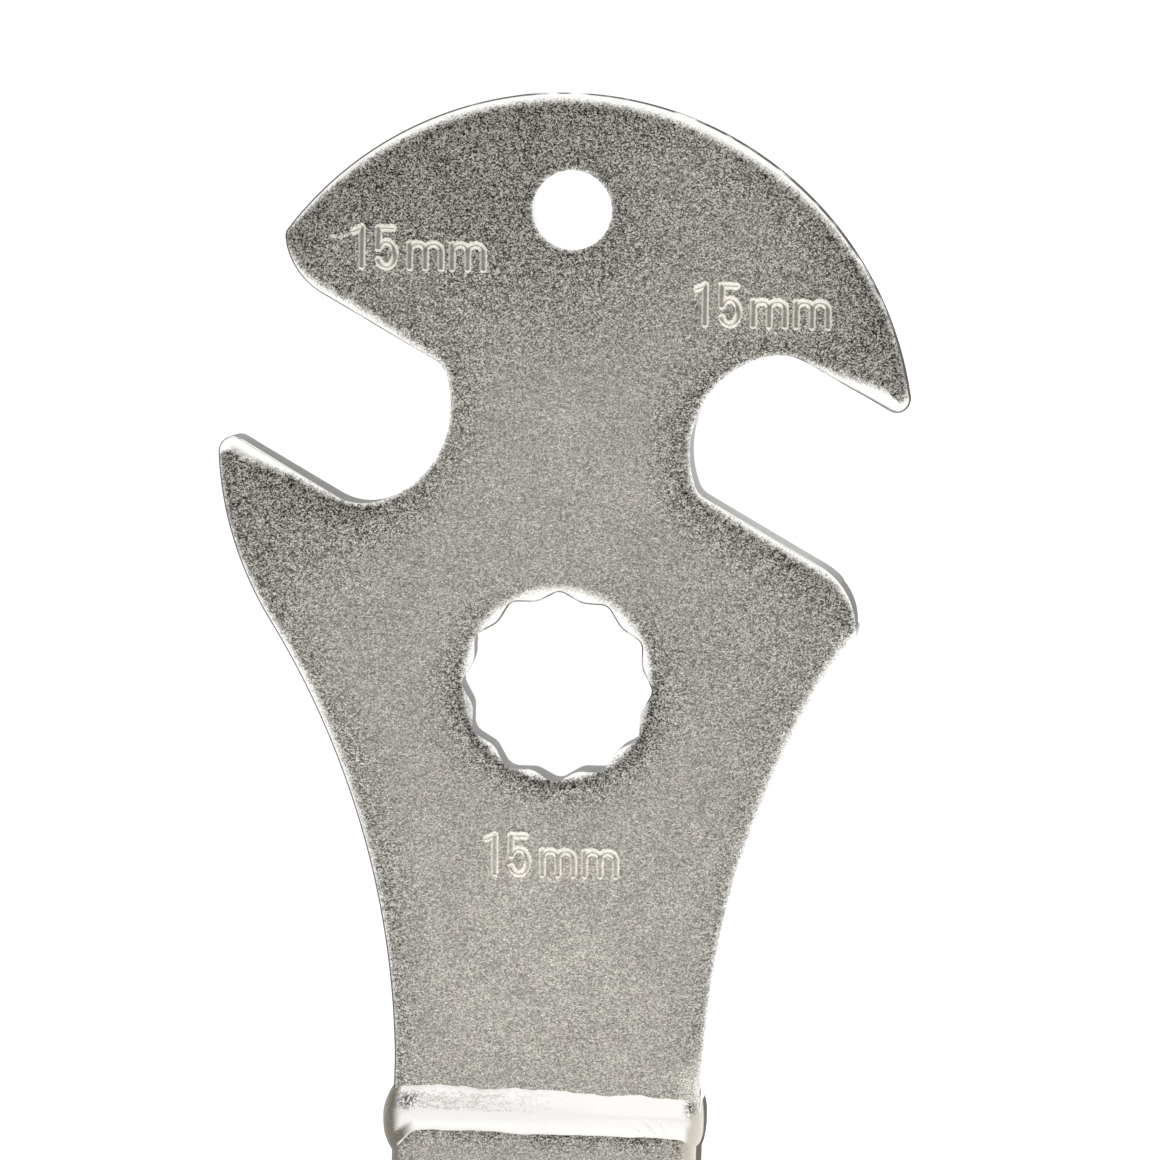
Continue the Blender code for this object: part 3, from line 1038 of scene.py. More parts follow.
@dataclass(frozen=True)
class Net:
    """Builds one node tree."""

    tree: bpy.types.NodeTree

    @classmethod
    def on(cls, owner: bpy.types.Material | bpy.types.World) -> "Net":
        """Starts an empty node tree.

        Args:
            owner: The new material or world that it belongs to.

        Returns:
            The net of that tree.
        """
        owner.use_nodes = True
        owner.node_tree.nodes.clear()
        return cls(owner.node_tree)

    def node(self, kind: str, settings: dict[str, object] | None = None,
             sockets: dict[int | str, object] | None = None, output: int | str = 0) -> Wire:
        """Adds a node.

        Args:
            kind: The node's type.
            settings: Properties, which are set first.
            sockets: Values or wires for inputs, by name or index.
            output: The output that the wire is taken from.

        Returns:
            The wire of that output.
        """
        made = self.tree.nodes.new(kind)
        for key, value in (settings or {}).items():
            setattr(made, key, value)
        for key, value in (sockets or {}).items():
            if isinstance(value, Wire):
                self.tree.links.new(value.socket, made.inputs[key])
            else:
                made.inputs[key].default_value = value
        return Wire(self, made.outputs[output] if len(made.outputs) else None)

    def maths(self, operation: str, *values: "Wire | float") -> Wire:
        """Adds a Math node for one operation on wires and numbers."""
        return self.node("ShaderNodeMath", {"operation": operation}, dict(enumerate(values)))

    def mix(self, share: "Wire | float", first: "Wire | Triple", second: "Wire | Triple",
            blend: str = "MIX") -> Wire:
        """Mixes two colours.

        Args:
            share: Share of the second colour.
            first: The first colour, a wire or three numbers.
            second: The second colour.
            blend: How they are blended.

        Returns:
            The mixed colour.
        """
        first, second = (c if isinstance(c, Wire) else (*c, 1.0) for c in (first, second))
        return self.node("ShaderNodeMix", {"data_type": "RGBA", "blend_type": blend},
                         {MIX_FACTOR: share, MIX_FIRST: first, MIX_SECOND: second}, MIX_RESULT)

    def place(self) -> Wire:
        """Object coordinates of the piece."""
        return self.node("ShaderNodeTexCoord", output="Object")

    def attribute(self, name: str) -> Wire:
        """A point attribute of the mesh."""
        return self.node("ShaderNodeAttribute", {"attribute_name": name}, output="Fac")

    def facets(self, scale: float) -> Wire:
        """A random value for each cell of the plating, on Object coordinates.

        Args:
            scale: Cells for each metre.

        Returns:
            The value, from 0 to 1.
        """
        sockets = {"Vector": self.place(), "Scale": scale}
        cell = self.node("ShaderNodeTexVoronoi", {}, sockets, "Color")
        return self.node("ShaderNodeSeparateColor", {}, {0: cell}, 0)

    def noise(self, scale: float, detail: float = 2.0, roughness: float = 0.5,
              stretch: Triple = (1.0, 1.0, 1.0)) -> Wire:
        """Noise on Object coordinates.

        Args:
            scale: Cells for each metre.
            detail: Finer octaves that are added.
            roughness: Strength of each octave beside the one before.
            stretch: Factors on the scale along x, y and z.

        Returns:
            The noise, from 0 to 1.
        """
        where = self.node("ShaderNodeMapping", {}, {"Vector": self.place(), "Scale": stretch})
        sockets = {"Vector": where, "Scale": scale, "Detail": detail, "Roughness": roughness}
        return self.node("ShaderNodeTexNoise", {}, sockets, "Fac")

    def metal(self, colour: Wire, metallic: Wire, rough: Wire, height: Wire, distance: float,
              dark: Wire) -> None:
        """Ends a material with a bumped metal shader, and a flat rough one mixed in where painted
        shade is.

        Args:
            colour: Base colour of both.
            metallic: How metallic the first one is.
            rough: Its roughness.
            height: Its bump, from 0 to 1.
            distance: The height in metres that 1 stands for.
            dark: Share of the flat rough shader, which carries the painted shade.
        """
        normal = self.node("ShaderNodeBump", {}, {
            "Strength": 1.0, "Distance": distance, "Height": height}, "Normal")
        shiny = self.node("ShaderNodeBsdfPrincipled", {}, {
            "Base Color": colour, "Metallic": metallic, "Roughness": rough, "Normal": normal})
        flat_shade = self.node("ShaderNodeBsdfPrincipled", {}, {
            "Base Color": colour, "Metallic": 0.0, "Roughness": 1.0, "Specular IOR Level": 0.0})
        shader = self.node("ShaderNodeMixShader", {}, {0: dark, 1: shiny, 2: flat_shade})
        self.node("ShaderNodeOutputMaterial", {}, {"Surface": shader})


@dataclass(frozen=True)
class GrainedMetal:
    """Zinc plating over a grained steel face, smoother on its rolled edges, with painted highlights
    and painted shade on edges, walls and marks.
    """

    name: str
    face: Triple = (0.52, 0.501, 0.463)
    # The rolled edge's colour is partly its smoother plating and partly a painted highlight; the
    # next one is painted shade on a roll.
    roll: Triple = (0.93, 0.925, 0.90)
    shaded_roll: Triple = (0.12, 0.10, 0.075)
    # The two wall colours are painted shade and a painted reflection, mixed along the edge by
    # wall_tone.
    shaded_wall: Triple = (0.06, 0.058, 0.055)
    lit_wall: Triple = (1.0, 0.99, 0.97)
    # The groove colour is a painted highlight, and the next one is the painted shade in the core of
    # upright strokes.
    groove: Triple = (0.92, 0.885, 0.81)
    upright_shade: Triple = (0.53, 0.495, 0.425)
    # The line colour is a painted dark line of shade along the very edge.
    line: Triple = (0.10, 0.095, 0.085)
    grain_scale: float = 6500.0
    ragged_scale: float = 1700.0
    dimple_scale: float = 700.0
    dash_scale: float = 420.0
    tint_scale: float = 330.0
    cloud_scale: float = 190.0
    calm_swing: float = 0.56
    # The gloom fields set how much the painted shade beside edges and by place darkens the face,
    # and how much more its grain swings there.
    gloom_swing: float = 1.75
    black_share: float = 0.28
    gloom_depth: float = 0.545
    face_roughness: float = 0.22
    roll_roughness: float = 0.20
    wall_roughness: float = 0.42
    # How far the metal turns non-metallic where shade is painted.
    shade_nonmetal: float = 0.9
    fade: Pair = (-0.45, 0.35)
    bump_distance: float = 0.00005

    def shared(self, net: Net) -> dict[str, Wire]:
        """What colour, roughness and height have in common.

        Formula: the grain is an eased mean of three noises plus a random value
        for each cell. The rolled edge, which takes a painted highlight, is where
        the distance from its painted bright band, made ragged by noise, is below 0.
        The rim is a painted dark line of shade on the very edge, broken up by a
        long noise.

        Args:
            net: The material's net.

        Returns:
            The slab's attributes, the noises and the masks, by name.
        """
        found = {name: net.attribute(name) for name in (
            "edge_mm", "band_mm", "wall", "pressed", "upright_shade", "gloom", "wall_tone", "line", "gleam")}
        line = found["line"]
        fine = net.noise(self.grain_scale, 3.0, 0.62)
        coarse = net.noise(self.grain_scale * 0.42, 1.0, 0.5)
        other = net.noise(self.grain_scale * 1.45, 1.0, 0.5)
        grain = (fine * 0.52 + other * 0.28 + coarse * 0.20).ease(0.36, 0.65, -1.0, 1.0)
        grain = grain * 0.72 + (net.facets(self.grain_scale * 1.4) - 0.5) * 1.5
        ragged = found["band_mm"] + (net.noise(self.ragged_scale, 3.0) - 0.5) * 0.5
        ragged = ragged + (fine - 0.5) * 1.6
        dash = (net.noise(self.dash_scale) + line * 0.9).ease(0.78, 0.98) * line.ease(0.0, 0.25)
        return found | {
            "fine": fine,
            "coarse": coarse,
            "grain": grain,
            "cloud": net.noise(self.cloud_scale, 3.0, 0.55) - 0.5,
            "rolled": ragged.ease(self.fade[0], self.fade[1], 1.0, 0.0),
            # The rim mask places that painted dark line of shade.
            "rim": (found["edge_mm"] - line * 0.08).ease(0.03, 0.13, 1.0, 0.0) * dash,
        }

    def tone(self, net: Net, parts: dict[str, Wire]) -> Wire:
        """Brightness of the face.

        Formula: exp of the grain, which swings more where it is gloomy and
        less on rolled and pressed metal, times one less the gloom, which is the
        painted shade, with a cloud over it.

        Args:
            net: The material's net.
            parts: What shared() gives.

        Returns:
            The brightness, about 1 on average.
        """
        flat, pressed, cloud = 1.0 - parts["rolled"], parts["pressed"], parts["cloud"]
        calm = (1.0 - 0.9 * parts["rolled"]) * (1.0 - 0.85 * pressed)
        dim = parts["gloom"] * (1.0 + cloud * 0.9) * flat * (1.0 - 0.5 * pressed)
        swing = self.calm_swing + net.maths("MAXIMUM", dim, 0.0) * self.gloom_swing
        swing = parts["grain"] * swing * calm
        swing = swing - swing * swing * self.black_share
        tone = net.maths("EXPONENT", swing) * (1.0 - self.gloom_depth * dim)
        return tone * (1.0 + cloud * 0.22 * flat)

    def colour(self, net: Net, parts: dict[str, Wire]) -> Wire:
        """Colour of the face, with painted highlights on its rolled edge and in the marks, painted
        shade on upright strokes, the painted dark line and the wall's painted light and shade.

        Args:
            net: The material's net.
            parts: What shared() gives.

        Returns:
            The colour.
        """
        tint = net.noise(self.tint_scale).ease(0.42, 0.62)
        warm = net.mix(tint, (0.99, 1.0, 0.985), (1.01, 0.993, 0.99))
        # Grooves are painted bright as a highlight, and upright strokes darker as painted shade.
        groove = net.mix(parts["upright_shade"], self.groove, self.upright_shade)
        face = net.mix(1.0, warm, self.face, "MULTIPLY")
        face = net.mix(parts["pressed"] * 0.85, face, groove)
        # The roll is painted bright as a highlight where gleam is high, and painted dark as shade
        # where it is low.
        roll = net.mix(parts["gleam"], self.shaded_roll, self.roll)
        face = net.mix(parts["rolled"], face, roll)
        tone = self.tone(net, parts)
        shade = net.node("ShaderNodeCombineColor", {}, {0: tone, 1: tone, 2: tone})
        face = net.mix(1.0, face, shade, "MULTIPLY")
        # Painted dark line of shade on the very edge.
        face = net.mix(parts["rim"], face, self.line)
        # The wall takes its painted light and shade from wall_tone.
        side = net.mix(parts["wall_tone"], self.shaded_wall, self.lit_wall)
        return net.mix(parts["wall"].ease(0.25, 0.8), face, side)

    def material(self) -> bpy.types.Material:
        """Builds the material.

        Returns:
            The new material.
        """
        made = bpy.data.materials.new(self.name)
        net = Net.on(made)
        parts = self.shared(net)
        wall, rolled, rim = parts["wall"], parts["rolled"], parts["rim"]
        rough = self.face_roughness + (parts["fine"] - 0.5) * 0.18 + parts["cloud"] * 0.10
        rough = rough * (1.0 - 0.6 * parts["pressed"])
        rough = rough * (1.0 - rolled) + self.roll_roughness * rolled
        rough = rough * (1.0 - wall) + self.wall_roughness * wall
        height = parts["fine"] * 0.65 + parts["coarse"] * 0.35
        height = height * (1.0 - 0.82 * rolled) * (1.0 - 0.85 * parts["pressed"])
        height = height + net.noise(self.dimple_scale) * 0.55
        # Where the dark line, dark walls and dark rolls are painted as shade, the metal is made
        # less metallic so that the painted shade shows.
        shade_share = net.maths("MAXIMUM", rim, wall * (1.0 - parts["wall_tone"]))
        shade_share = net.maths("MAXIMUM", shade_share, rolled * (1.0 - parts["gleam"]))
        # Where the painted wall shade is darkest, a flat rough shader is mixed in so that the
        # painted shade shows.
        shaded = wall * parts["wall_tone"].ease(0.03, 0.09, 1.0, 0.0)
        net.metal(self.colour(net, parts), 1.0 - shade_share * self.shade_nonmetal, rough, height,
                  self.bump_distance, net.maths("MAXIMUM", rim * 0.7, shaded))
        return made


@dataclass(frozen=True)
class WeldMetal:
    """Plated weld metal painted near white as a painted reflection, with painted shade in patches
    on its flat part and folds, painted shade on its ends and right rim, and dark pits painted as
    shade.
    """

    name: str = "plated_weld_metal"
    # Near-white colour that is a painted reflection of the bright surroundings.
    bright: Triple = (0.99, 0.98, 0.963)
    # Grey painted shade for the flat part and the folds, in patches.
    shaded_mottle: Triple = (0.66, 0.64, 0.60)
    # The end colours are painted shade on the side-facing ends, darker on the left.
    left_end: Triple = (0.14, 0.12, 0.09)
    right_end: Triple = (0.62, 0.58, 0.52)
    # Painted dark crescent of shade on the right rim.
    right_rim: Triple = (0.09, 0.08, 0.07)
    # Near-black painted shade in the pits.
    pitted: Triple = (0.05, 0.045, 0.04)
    grain_scale: float = 5200.0
    streak_scale: float = 1500.0
    streak_stretch: Triple = (0.6, 1.6, 1.0)
    middle: Pair = (-0.002, 0.002)
    roughness: float = 0.46
    shine: float = 0.35
    bump_distance: float = 0.00004

    def material(self) -> bpy.types.Material:
        """Builds the material.

        Returns:
            The new material.
        """
        made = bpy.data.materials.new(self.name)
        net = Net.on(made)
        # Pits, ends, flat part and right rim carry the weld's painted shade.
        pit, end, shade_share, rim = (net.attribute(name) for name in ("pit", "end", "flat_shade", "rim"))
        fine = net.noise(self.grain_scale, 3.0, 0.6)
        streak = net.noise(self.streak_scale, 3.0, 0.6, self.streak_stretch)
        across = net.node("ShaderNodeSeparateXYZ", {}, {0: net.place()}, 0)
        # Painted shade in patches on the flat part and the folds.
        mottle = (fine * 0.6 + streak * 0.4 + shade_share * 0.14).ease(0.56, 0.72) * shade_share
        # The painted reflection's near white, with patches of painted shade.
        colour = net.mix(mottle, self.bright, self.shaded_mottle)
        # Painted shade on the side-facing ends, darker on the left than on the right.
        ends = net.mix(across.ease(*self.middle), self.left_end, self.right_end)
        # Painted shade on the right rim.
        ends = net.mix(rim, ends, self.right_rim)
        colour = net.mix(end * (0.94 + 0.12 * fine.ease(0.4, 0.6)), colour, ends)
        # Pits painted near black as shade.
        speck = net.maths("MINIMUM", pit * 1.2, 1.0) * fine.ease(0.40, 0.54)
        colour = net.mix(speck, colour, self.pitted)
        rough = self.roughness + (streak - 0.5) * 0.2 - end * 0.12
        net.metal(colour, self.shine * (1.0 - end), rough, fine * 0.3 + streak * 0.8,
                  self.bump_distance, rim * 0.9)
        return made


@dataclass
class HeadPlate:
    """The stamped head: two opposed jaws, a twelve point ring and a hanging hole."""

    outline_step: float = 0.25
    ring_step: float = 0.16
    hole_step: float = 0.30
    roll_depth: float = 0.48
    lean: float = 0.18
    dark_lean: float = 0.36
    corner_lean: float = 0.16
    hole_lean: float = 0.5
    hole_share: float = 0.972
    hole_shift: Pair = (0.15, 0.0)
    ring_lean: float = 0.36
    ring_centre: Pair = (0.0, 111.8)
    ring_sink: Countersink = Countersink((0.15, 112.07), 8.75, 0.5)
    tail_cut: float = 1.2
    tail_spread: float = 0.32
    back_roll: Pair = (0.25, 0.12)
    grid_steps: Pair = (0.55, 1.2)
    marks: tuple[SizeMark, ...] = (
        SizeMark((-19.55, 148.56), 0.8),
        SizeMark((11.39, 144.63), 0.85),
        SizeMark((-6.06, 94.36), 1.4, clean=0.8),
        Scratch((-21.4, 151.35), 2.0, clean=0.6),
    )

    def contours(self) -> list[Contour]:
        """Outline, ring and hanging hole, read from the CAD node's back face.

        Returns:
            The three contours, with the outline's tail carried under the bead.
        """
        low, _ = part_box("head_plate")
        points, following = next_pointers(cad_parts["head_plate"].data, low.z)
        outline, ring, hole = ordered_loops(points, following)
        outline = smooth_loop(self.tailed(outline), self.outline_step)
        ring = smooth_loop(ring, self.ring_step)
        hole = smooth_loop(hole, self.hole_step)
        hole = hole.mean(0) + (hole - hole.mean(0)) * self.hole_share + np.array(self.hole_shift)
        return [self.rolled(outline), self.ringed(ring), self.edged(hole)]

    def tailed(self, loop: np.ndarray) -> np.ndarray:
        """Cuts the outline's weld edge off and carries its straight sides under the bead.

        Args:
            loop: The CAD outline.

        Returns:
            The outline, which ends in two corners at the joint.
        """
        cut = loop[:, 1] < loop[:, 1].min() + self.tail_cut
        loop = np.roll(loop, -int(np.flatnonzero(cut & ~np.roll(cut, -1))[0]) - 1, axis=0)
        kept = loop[loop[:, 1] >= loop[:, 1].min() + self.tail_cut]
        return np.concatenate([kept, [(kept[-1, 0], JOINT_Y), (kept[0, 0], JOINT_Y)]])

    def rolled(self, loop: np.ndarray) -> Contour:
        """The outline, rolled by the die as its spots say, with a square end under the bead.

        Formula: its neck is a little wider on the right. The wall leans more
        where it shows dark, less at the right corner, and not at the bead.

        Args:
            loop: The outline.

        Returns:
            Its contour.
        """
        low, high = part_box("head_plate")
        loop = np.stack([np.clip(loop[:, 0], low.x / MM, high.x / MM), loop[:, 1]], axis=1)
        tail = smooth_step(96.0, 80.0, loop[:, 1]) * smooth_step(8.0, 12.0, loop[:, 0])
        loop[:, 0] += self.tail_spread * tail
        # The spots give the painted highlight band, the wall's painted light and shade, the painted
        # dark line and the painted shade beside the edge.
        looks = spread(loop, OUTLINE_SPOTS)
        end, roll = loop[:, 1] < JOINT_Y + 0.01, looks.pop("roll")
        corner = bump(loop[:, 0], 27.0, 3.0) * bump(loop[:, 1], 120.5, 4.0)
        lean = self.lean + self.dark_lean * smooth_step(0.09, 0.03, looks["wall"])
        lean = lean - self.corner_lean * corner
        lean = lean * smooth_step(JOINT_Y + 1.0, JOINT_Y + 3.0, loop[:, 1])
        wide, deep = np.where(end, 0.05, roll), np.where(end, 0.0, self.roll_depth * roll)
        return Contour.of(loop, wide, deep, lean, reach=1.8, gleam=1.0, **looks)

    def ringed(self, loop: np.ndarray) -> Contour:
        """The ring's wavy line, with a hair of a roll; its countersink is a round one.

        Args:
            loop: The line.

        Returns:
            Its contour, with painted shade below and a painted dark line of shade above.
        """
        way = loop - np.array(self.ring_centre)
        way /= np.linalg.norm(way, axis=1)[:, None]
        lower_right = smooth_step(0.35, 1.0, (way[:, 0] - way[:, 1]) / math.sqrt(2.0))
        lean = self.ring_lean * (1.0 - 0.85 * lower_right)
        # A painted dark line of shade above the ring, painted shade below it, and dark painted
        # shade on its wall.
        line = 0.52 * smooth_step(0.0, 0.35, 0.4 * way[:, 0] + way[:, 1])
        gloom = np.clip(1.15 - 1.15 * way[:, 1], 0.0, 1.35)
        return Contour.of(loop, 0.10, 0.06, lean, band=0.0, wall=0.14, line=line, gloom=gloom,
                          reach=1.15, gleam=1.0)

    def edged(self, loop: np.ndarray) -> Contour:
        """The hanging hole, with a small soft rim, a punched wall that widens downwards and is
        painted light, and painted shade beside it.
        """
        return Contour.of(loop, 0.22, 0.11, self.hole_lean, band=0.05, wall=0.9, line=0.0,
                          gloom=0.6, reach=0.8, gleam=1.0)

    @staticmethod
    def overcast(points: np.ndarray) -> np.ndarray:
        """Painted shade on the grain by place: darker towards the top, most of all on the left.

        Formula: an easing along y that is weaker on the right, plus bells by
        the right flare and both jaws, less bells below the ring, above it and
        at the right corner beside the bead.

        Args:
            points: Points of the plate in millimetres.

        Returns:
            The painted shade, below 0 where the grain is painted lighter.
        """
        x, y = points[:, 0], points[:, 1]
        top = 0.70 * smooth_step(134.0, 157.0, y) * (1.0 - 0.58 * smooth_step(-4.0, 14.0, x))
        flare = 0.20 * bump(x, 20.0, 9.0) * bump(y, 117.0, 9.0)
        light = 0.24 * bump(x, -1.0, 12.0) * bump(y, 87.0, 13.0)
        light = light + 0.12 * bump(x, 0.0, 7.0) * bump(y, 134.0, 9.0)
        light = light + 1.50 * bump(x, 13.5, 1.0) * bump(y, 76.4, 1.6)
        jaws = 0.55 * bump(x, -26.0, 8.0) * bump(y, 127.0, 8.0)
        jaws = jaws + 0.40 * bump(x, 26.0, 6.0) * bump(y, 144.0, 7.0)
        return top + flare + jaws - light

    def build(self) -> bpy.types.Object:
        """Builds and dresses the head plate.

        Returns:
            The finished piece.
        """
        low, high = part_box("head_plate")
        slab = Slab(high.z / MM, low.z / MM, self.contours(), self.back_roll, *self.grid_steps,
                    marks=self.marks, sinks=(self.ring_sink,), overcast=self.overcast)
        piece = slab.shell().build("head_plate_skin")
        piece.data.materials.append(GrainedMetal("plated_plate_face").material())
        return settle(piece, "head_plate")


@dataclass
class HandleBar:
    """The flat handle bar, with rounded edges and a rounded free end."""

    step: float = 0.4
    edge: float = 0.85
    back_roll: float = 1.1
    end_radius: float = 9.5
    grid_steps: Pair = (1.0, 2.0)

    def contour(self) -> Contour:
        """The bar's outline: straight sides, a square top and two round lower corners.

        Returns:
            The contour, counter-clockwise, with a wider roll on the right that takes a painted
            highlight, and painted shade and a painted dark line on the left.
        """
        low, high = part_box("handle_bar")
        left, right, foot = low.x / MM, high.x / MM, low.y / MM
        r = self.end_radius
        turn = np.radians(np.linspace(0.0, 90.0, 19))
        corner = np.array([(left + r, foot + r), (right - r, foot + r)])
        first = corner[0] - r * np.stack([np.cos(turn), np.sin(turn)], axis=1)
        second = corner[1] + r * np.stack([np.sin(turn), -np.cos(turn)], axis=1)
        top = np.array([(right, JOINT_Y), (left, JOINT_Y)])
        loop = smooth_loop(np.concatenate([first, second, top]), self.step)
        at_right = smooth_step(-2.0, 2.0, loop[:, 0])
        # Painted highlight on the right roll, painted shade on the left roll and the walls, a
        # painted dark line on the left and painted shade beside the edge.
        return Contour.of(loop, self.back_roll + 0.3 * at_right, self.edge, 0.0, wall=0.03,
                          gloom=0.30, reach=0.7, band=0.95 + 0.35 * at_right,
                          line=0.6 - 0.6 * at_right, gleam=0.12 + 0.7 * at_right)

    @staticmethod
    def overcast(points: np.ndarray) -> np.ndarray:
        """Painted shadow under the bead's toe, by place.

        Formula: a ragged line of painted shadow along the bead's slanted toe,
        which fades as exp of minus the distance from it.

        Args:
            points: Points of the bar in millimetres.

        Returns:
            The darkness of the painted shadow.
        """
        toe = 70.84 + 0.016 * (points[:, 0] + 14.0)
        ragged = np.clip(0.6 + 0.5 * waves(points[:, 0], 3, 7.0), 0.2, 1.0)
        return 1.5 * ragged * np.exp(-np.maximum(toe - points[:, 1], 0.0) / 0.5)

    def build(self) -> bpy.types.Object:
        """Builds and dresses the handle bar.

        Returns:
            The finished piece.
        """
        low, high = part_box("handle_bar")
        slab = Slab(high.z / MM, low.z / MM, [self.contour()], (self.back_roll, self.edge),
                    *self.grid_steps, roll_rows=6, overcast=self.overcast)
        piece = slab.shell().build("handle_bar_skin")
        # The bar's roll colour is partly a painted highlight, and its wall colour is painted shade.
        metal = GrainedMetal(
            "plated_bar_face", roll=(0.76, 0.70, 0.63), shaded_wall=(0.14, 0.112, 0.09),
            fade=(-0.35, 0.15), wall_roughness=0.30, calm_swing=0.46)
        piece.data.materials.append(metal.material())
        return settle(piece, "handle_bar")


@dataclass(frozen=True)
class BeadGrid:
    """Where the bead's points stand before it is piled up, one row for each step across it.

    Base holds x and z on the metal below, out the normals there, v the place
    across the bead from 1 at the plate to -1 at the bar, and along the place
    round it.
    """

    base: np.ndarray
    out: np.ndarray
    v: np.ndarray
    along: np.ndarray

    @property
    def x(self) -> np.ndarray:
        """Place from left to right."""
        return self.base[..., 0]

    @property
    def side(self) -> np.ndarray:
        """How far the surface faces left or right, from 0 to 1."""
        return np.abs(self.out[..., 0])

    @property
    def front(self) -> np.ndarray:
        """Whether the surface faces the front."""
        return smooth_step(-0.3, 0.3, self.out[..., 1])

    @property
    def on_left(self) -> np.ndarray:
        """An easing from right to left."""
        return smooth_step(9.0, -9.0, self.x)

    @property
    def at_left(self) -> np.ndarray:
        """1 at the left end."""
        return smooth_step(-11.4, -14.3, self.x)

    @property
    def at_right(self) -> np.ndarray:
        """1 at the right end."""
        return smooth_step(12.4, 14.0, self.x)


@dataclass
class WeldBead:
    """The bead that joins plate and bar, carried round both of them."""

    half_length: float = 2.05
    crown: float = 0.68
    around: int = 520
    across: int = 30
    corner: float = 1.0
    plate_inset: float = 0.1
    round_length: float = 64.0
    root_depth: float = 0.9
    root_half: float = 1.8

    def section(self, left: float, right: float, low: float,
                high: float) -> tuple[np.ndarray, np.ndarray]:
        """A rounded rectangle in the plane across the wrench, and its outward normals.

        Formula: four quarter circles, joined by straight lines. The line goes
        along the front to the right, down, along the back and up, in even steps.

        Args:
            left: Left side.
            right: Right side.
            low: Back face.
            high: Front face.

        Returns:
            The points, as x and z, and the unit normals at them.
        """
        r = self.corner
        quarter = np.radians(np.linspace(90.0, 0.0, 9))
        centres = [(right - r, high - r), (right - r, low + r), (left + r, low + r),
                   (left + r, high - r)]
        turns = [quarter - k * np.pi / 2 for k in range(4)]
        line = np.concatenate([
            np.array(centre) + r * np.stack([np.cos(turn), np.sin(turn)], axis=1)
            for centre, turn in zip(centres, turns)
        ])
        closed = np.concatenate([line, line[:1]])
        length = np.linalg.norm(np.roll(line, -1, 0) - line, axis=1)
        start = np.concatenate([[0.0], np.cumsum(length)])
        at = np.linspace(0.0, start[-1], self.around, endpoint=False)
        points = np.stack([np.interp(at, start, closed[:, k]) for k in (0, 1)], axis=1)
        head = np.roll(points, -1, 0) - np.roll(points, 1, 0)
        head /= np.linalg.norm(head, axis=1)[:, None]
        return points, np.stack([-head[:, 1], head[:, 0]], axis=1)

    def grid(self) -> BeadGrid:
        """The base of the bead, which blends from the plate's section to the bar's.

        Returns:
            The grid.
        """
        plate_low, plate_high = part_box("head_plate")
        bar_low, bar_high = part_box("handle_bar")
        half = (bar_high.x - bar_low.x) / MM / 2.0
        inner = half - self.plate_inset
        up, up_out = self.section(-inner, inner, plate_low.z / MM, plate_high.z / MM)
        down, down_out = self.section(-half, half, bar_low.z / MM, bar_high.z / MM)
        v = np.linspace(1.0, -1.0, self.across)[:, None]
        share = smooth_step(-1.0, 1.0, v)[:, :, None]
        along = np.linspace(0.0, 1.0, self.around, endpoint=False)[None, :] * self.round_length
        return BeadGrid(down + (up - down) * share, down_out + (up_out - down_out) * share,
                        v, along)

    def reach(self, at: BeadGrid) -> np.ndarray:
        """How far the bead goes from its middle towards both toes.

        Formula: half its length with waves, longer where it drips at both
        ends and less at the plate's toe on the right.

        Args:
            at: The grid.

        Returns:
            The reach at each point, in millimetres.
        """
        v, low = at.v, smooth_step(5.8, 0.5, at.base[..., 1])
        toe = np.where(v > 0, waves(at.along, 5, 9.1) * 0.16, waves(at.along, 8, 12.8) * 0.10)
        reach = self.half_length + toe * np.abs(v)
        reach = reach + at.at_left * np.where(v < 0, 1.85, 0.5)
        reach = reach - (v > 0) * (0.27 * smooth_step(-2.0, 12.0, at.x) - 0.6 * at.at_right)
        return reach + at.at_right * (v < 0) * (0.35 + 0.9 * low)

    def chevron(self, at: BeadGrid) -> np.ndarray:
        """Depth of the slanted folds on the right of the bar's half: the square of a sine."""
        fold = np.maximum(np.sin(2.0 * np.pi * (0.8 * at.x + 1.2 * at.v)), 0.0) ** 2
        return 0.10 * fold * bump(at.x, 9.8, 2.0) * smooth_step(0.2, -0.4, at.v) * at.front

    def pits(self, at: BeadGrid) -> np.ndarray:
        """Share of a wide pit on the left and a narrow one on the right: two bells each."""
        left = bump(at.x, -12.3, 0.8) * bump(at.v, 0.38, 0.30) * at.front
        return left + bump(at.x, 13.10, 0.34) * bump(at.v, 0.60, 0.42) * at.front

    def height(self, at: BeadGrid) -> np.ndarray:
        """How far the bead stands off the metal below.

        Formula: a crown that is one less a power of the offset from its ridge,
        which lies higher on the left, plus ripples and a bulge on the left
        side, less pits and folds.

        Args:
            at: The grid.

        Returns:
            The height at each point, in millimetres.
        """
        v, side, round_off = at.v, at.side, 1.0 - at.v**2
        ridge = 0.30 * at.on_left * (1.0 - 1.8 * side)
        part = (v - ridge) / np.where(v < ridge, 1.0 + ridge, 1.0 - ridge)
        power = 1.3 + 1.9 * at.on_left * (1.0 - 0.8 * side) + 1.5 * at.at_right
        crown = self.crown * (1.0 - np.abs(part) ** power) - 0.09 * np.abs(v) ** 8
        crown = crown * (1.0 - 0.3 * at.at_right)
        ripple = waves(at.along + 1.1 * v**2, 11, 3.2, 4) * 0.035 * round_off
        bulge = 0.40 * side * (at.x < 0) * round_off
        sunk = self.pits(at) * (0.06 + 0.24 * at.on_left)
        return crown + ripple + bulge - sunk - self.chevron(at) * round_off

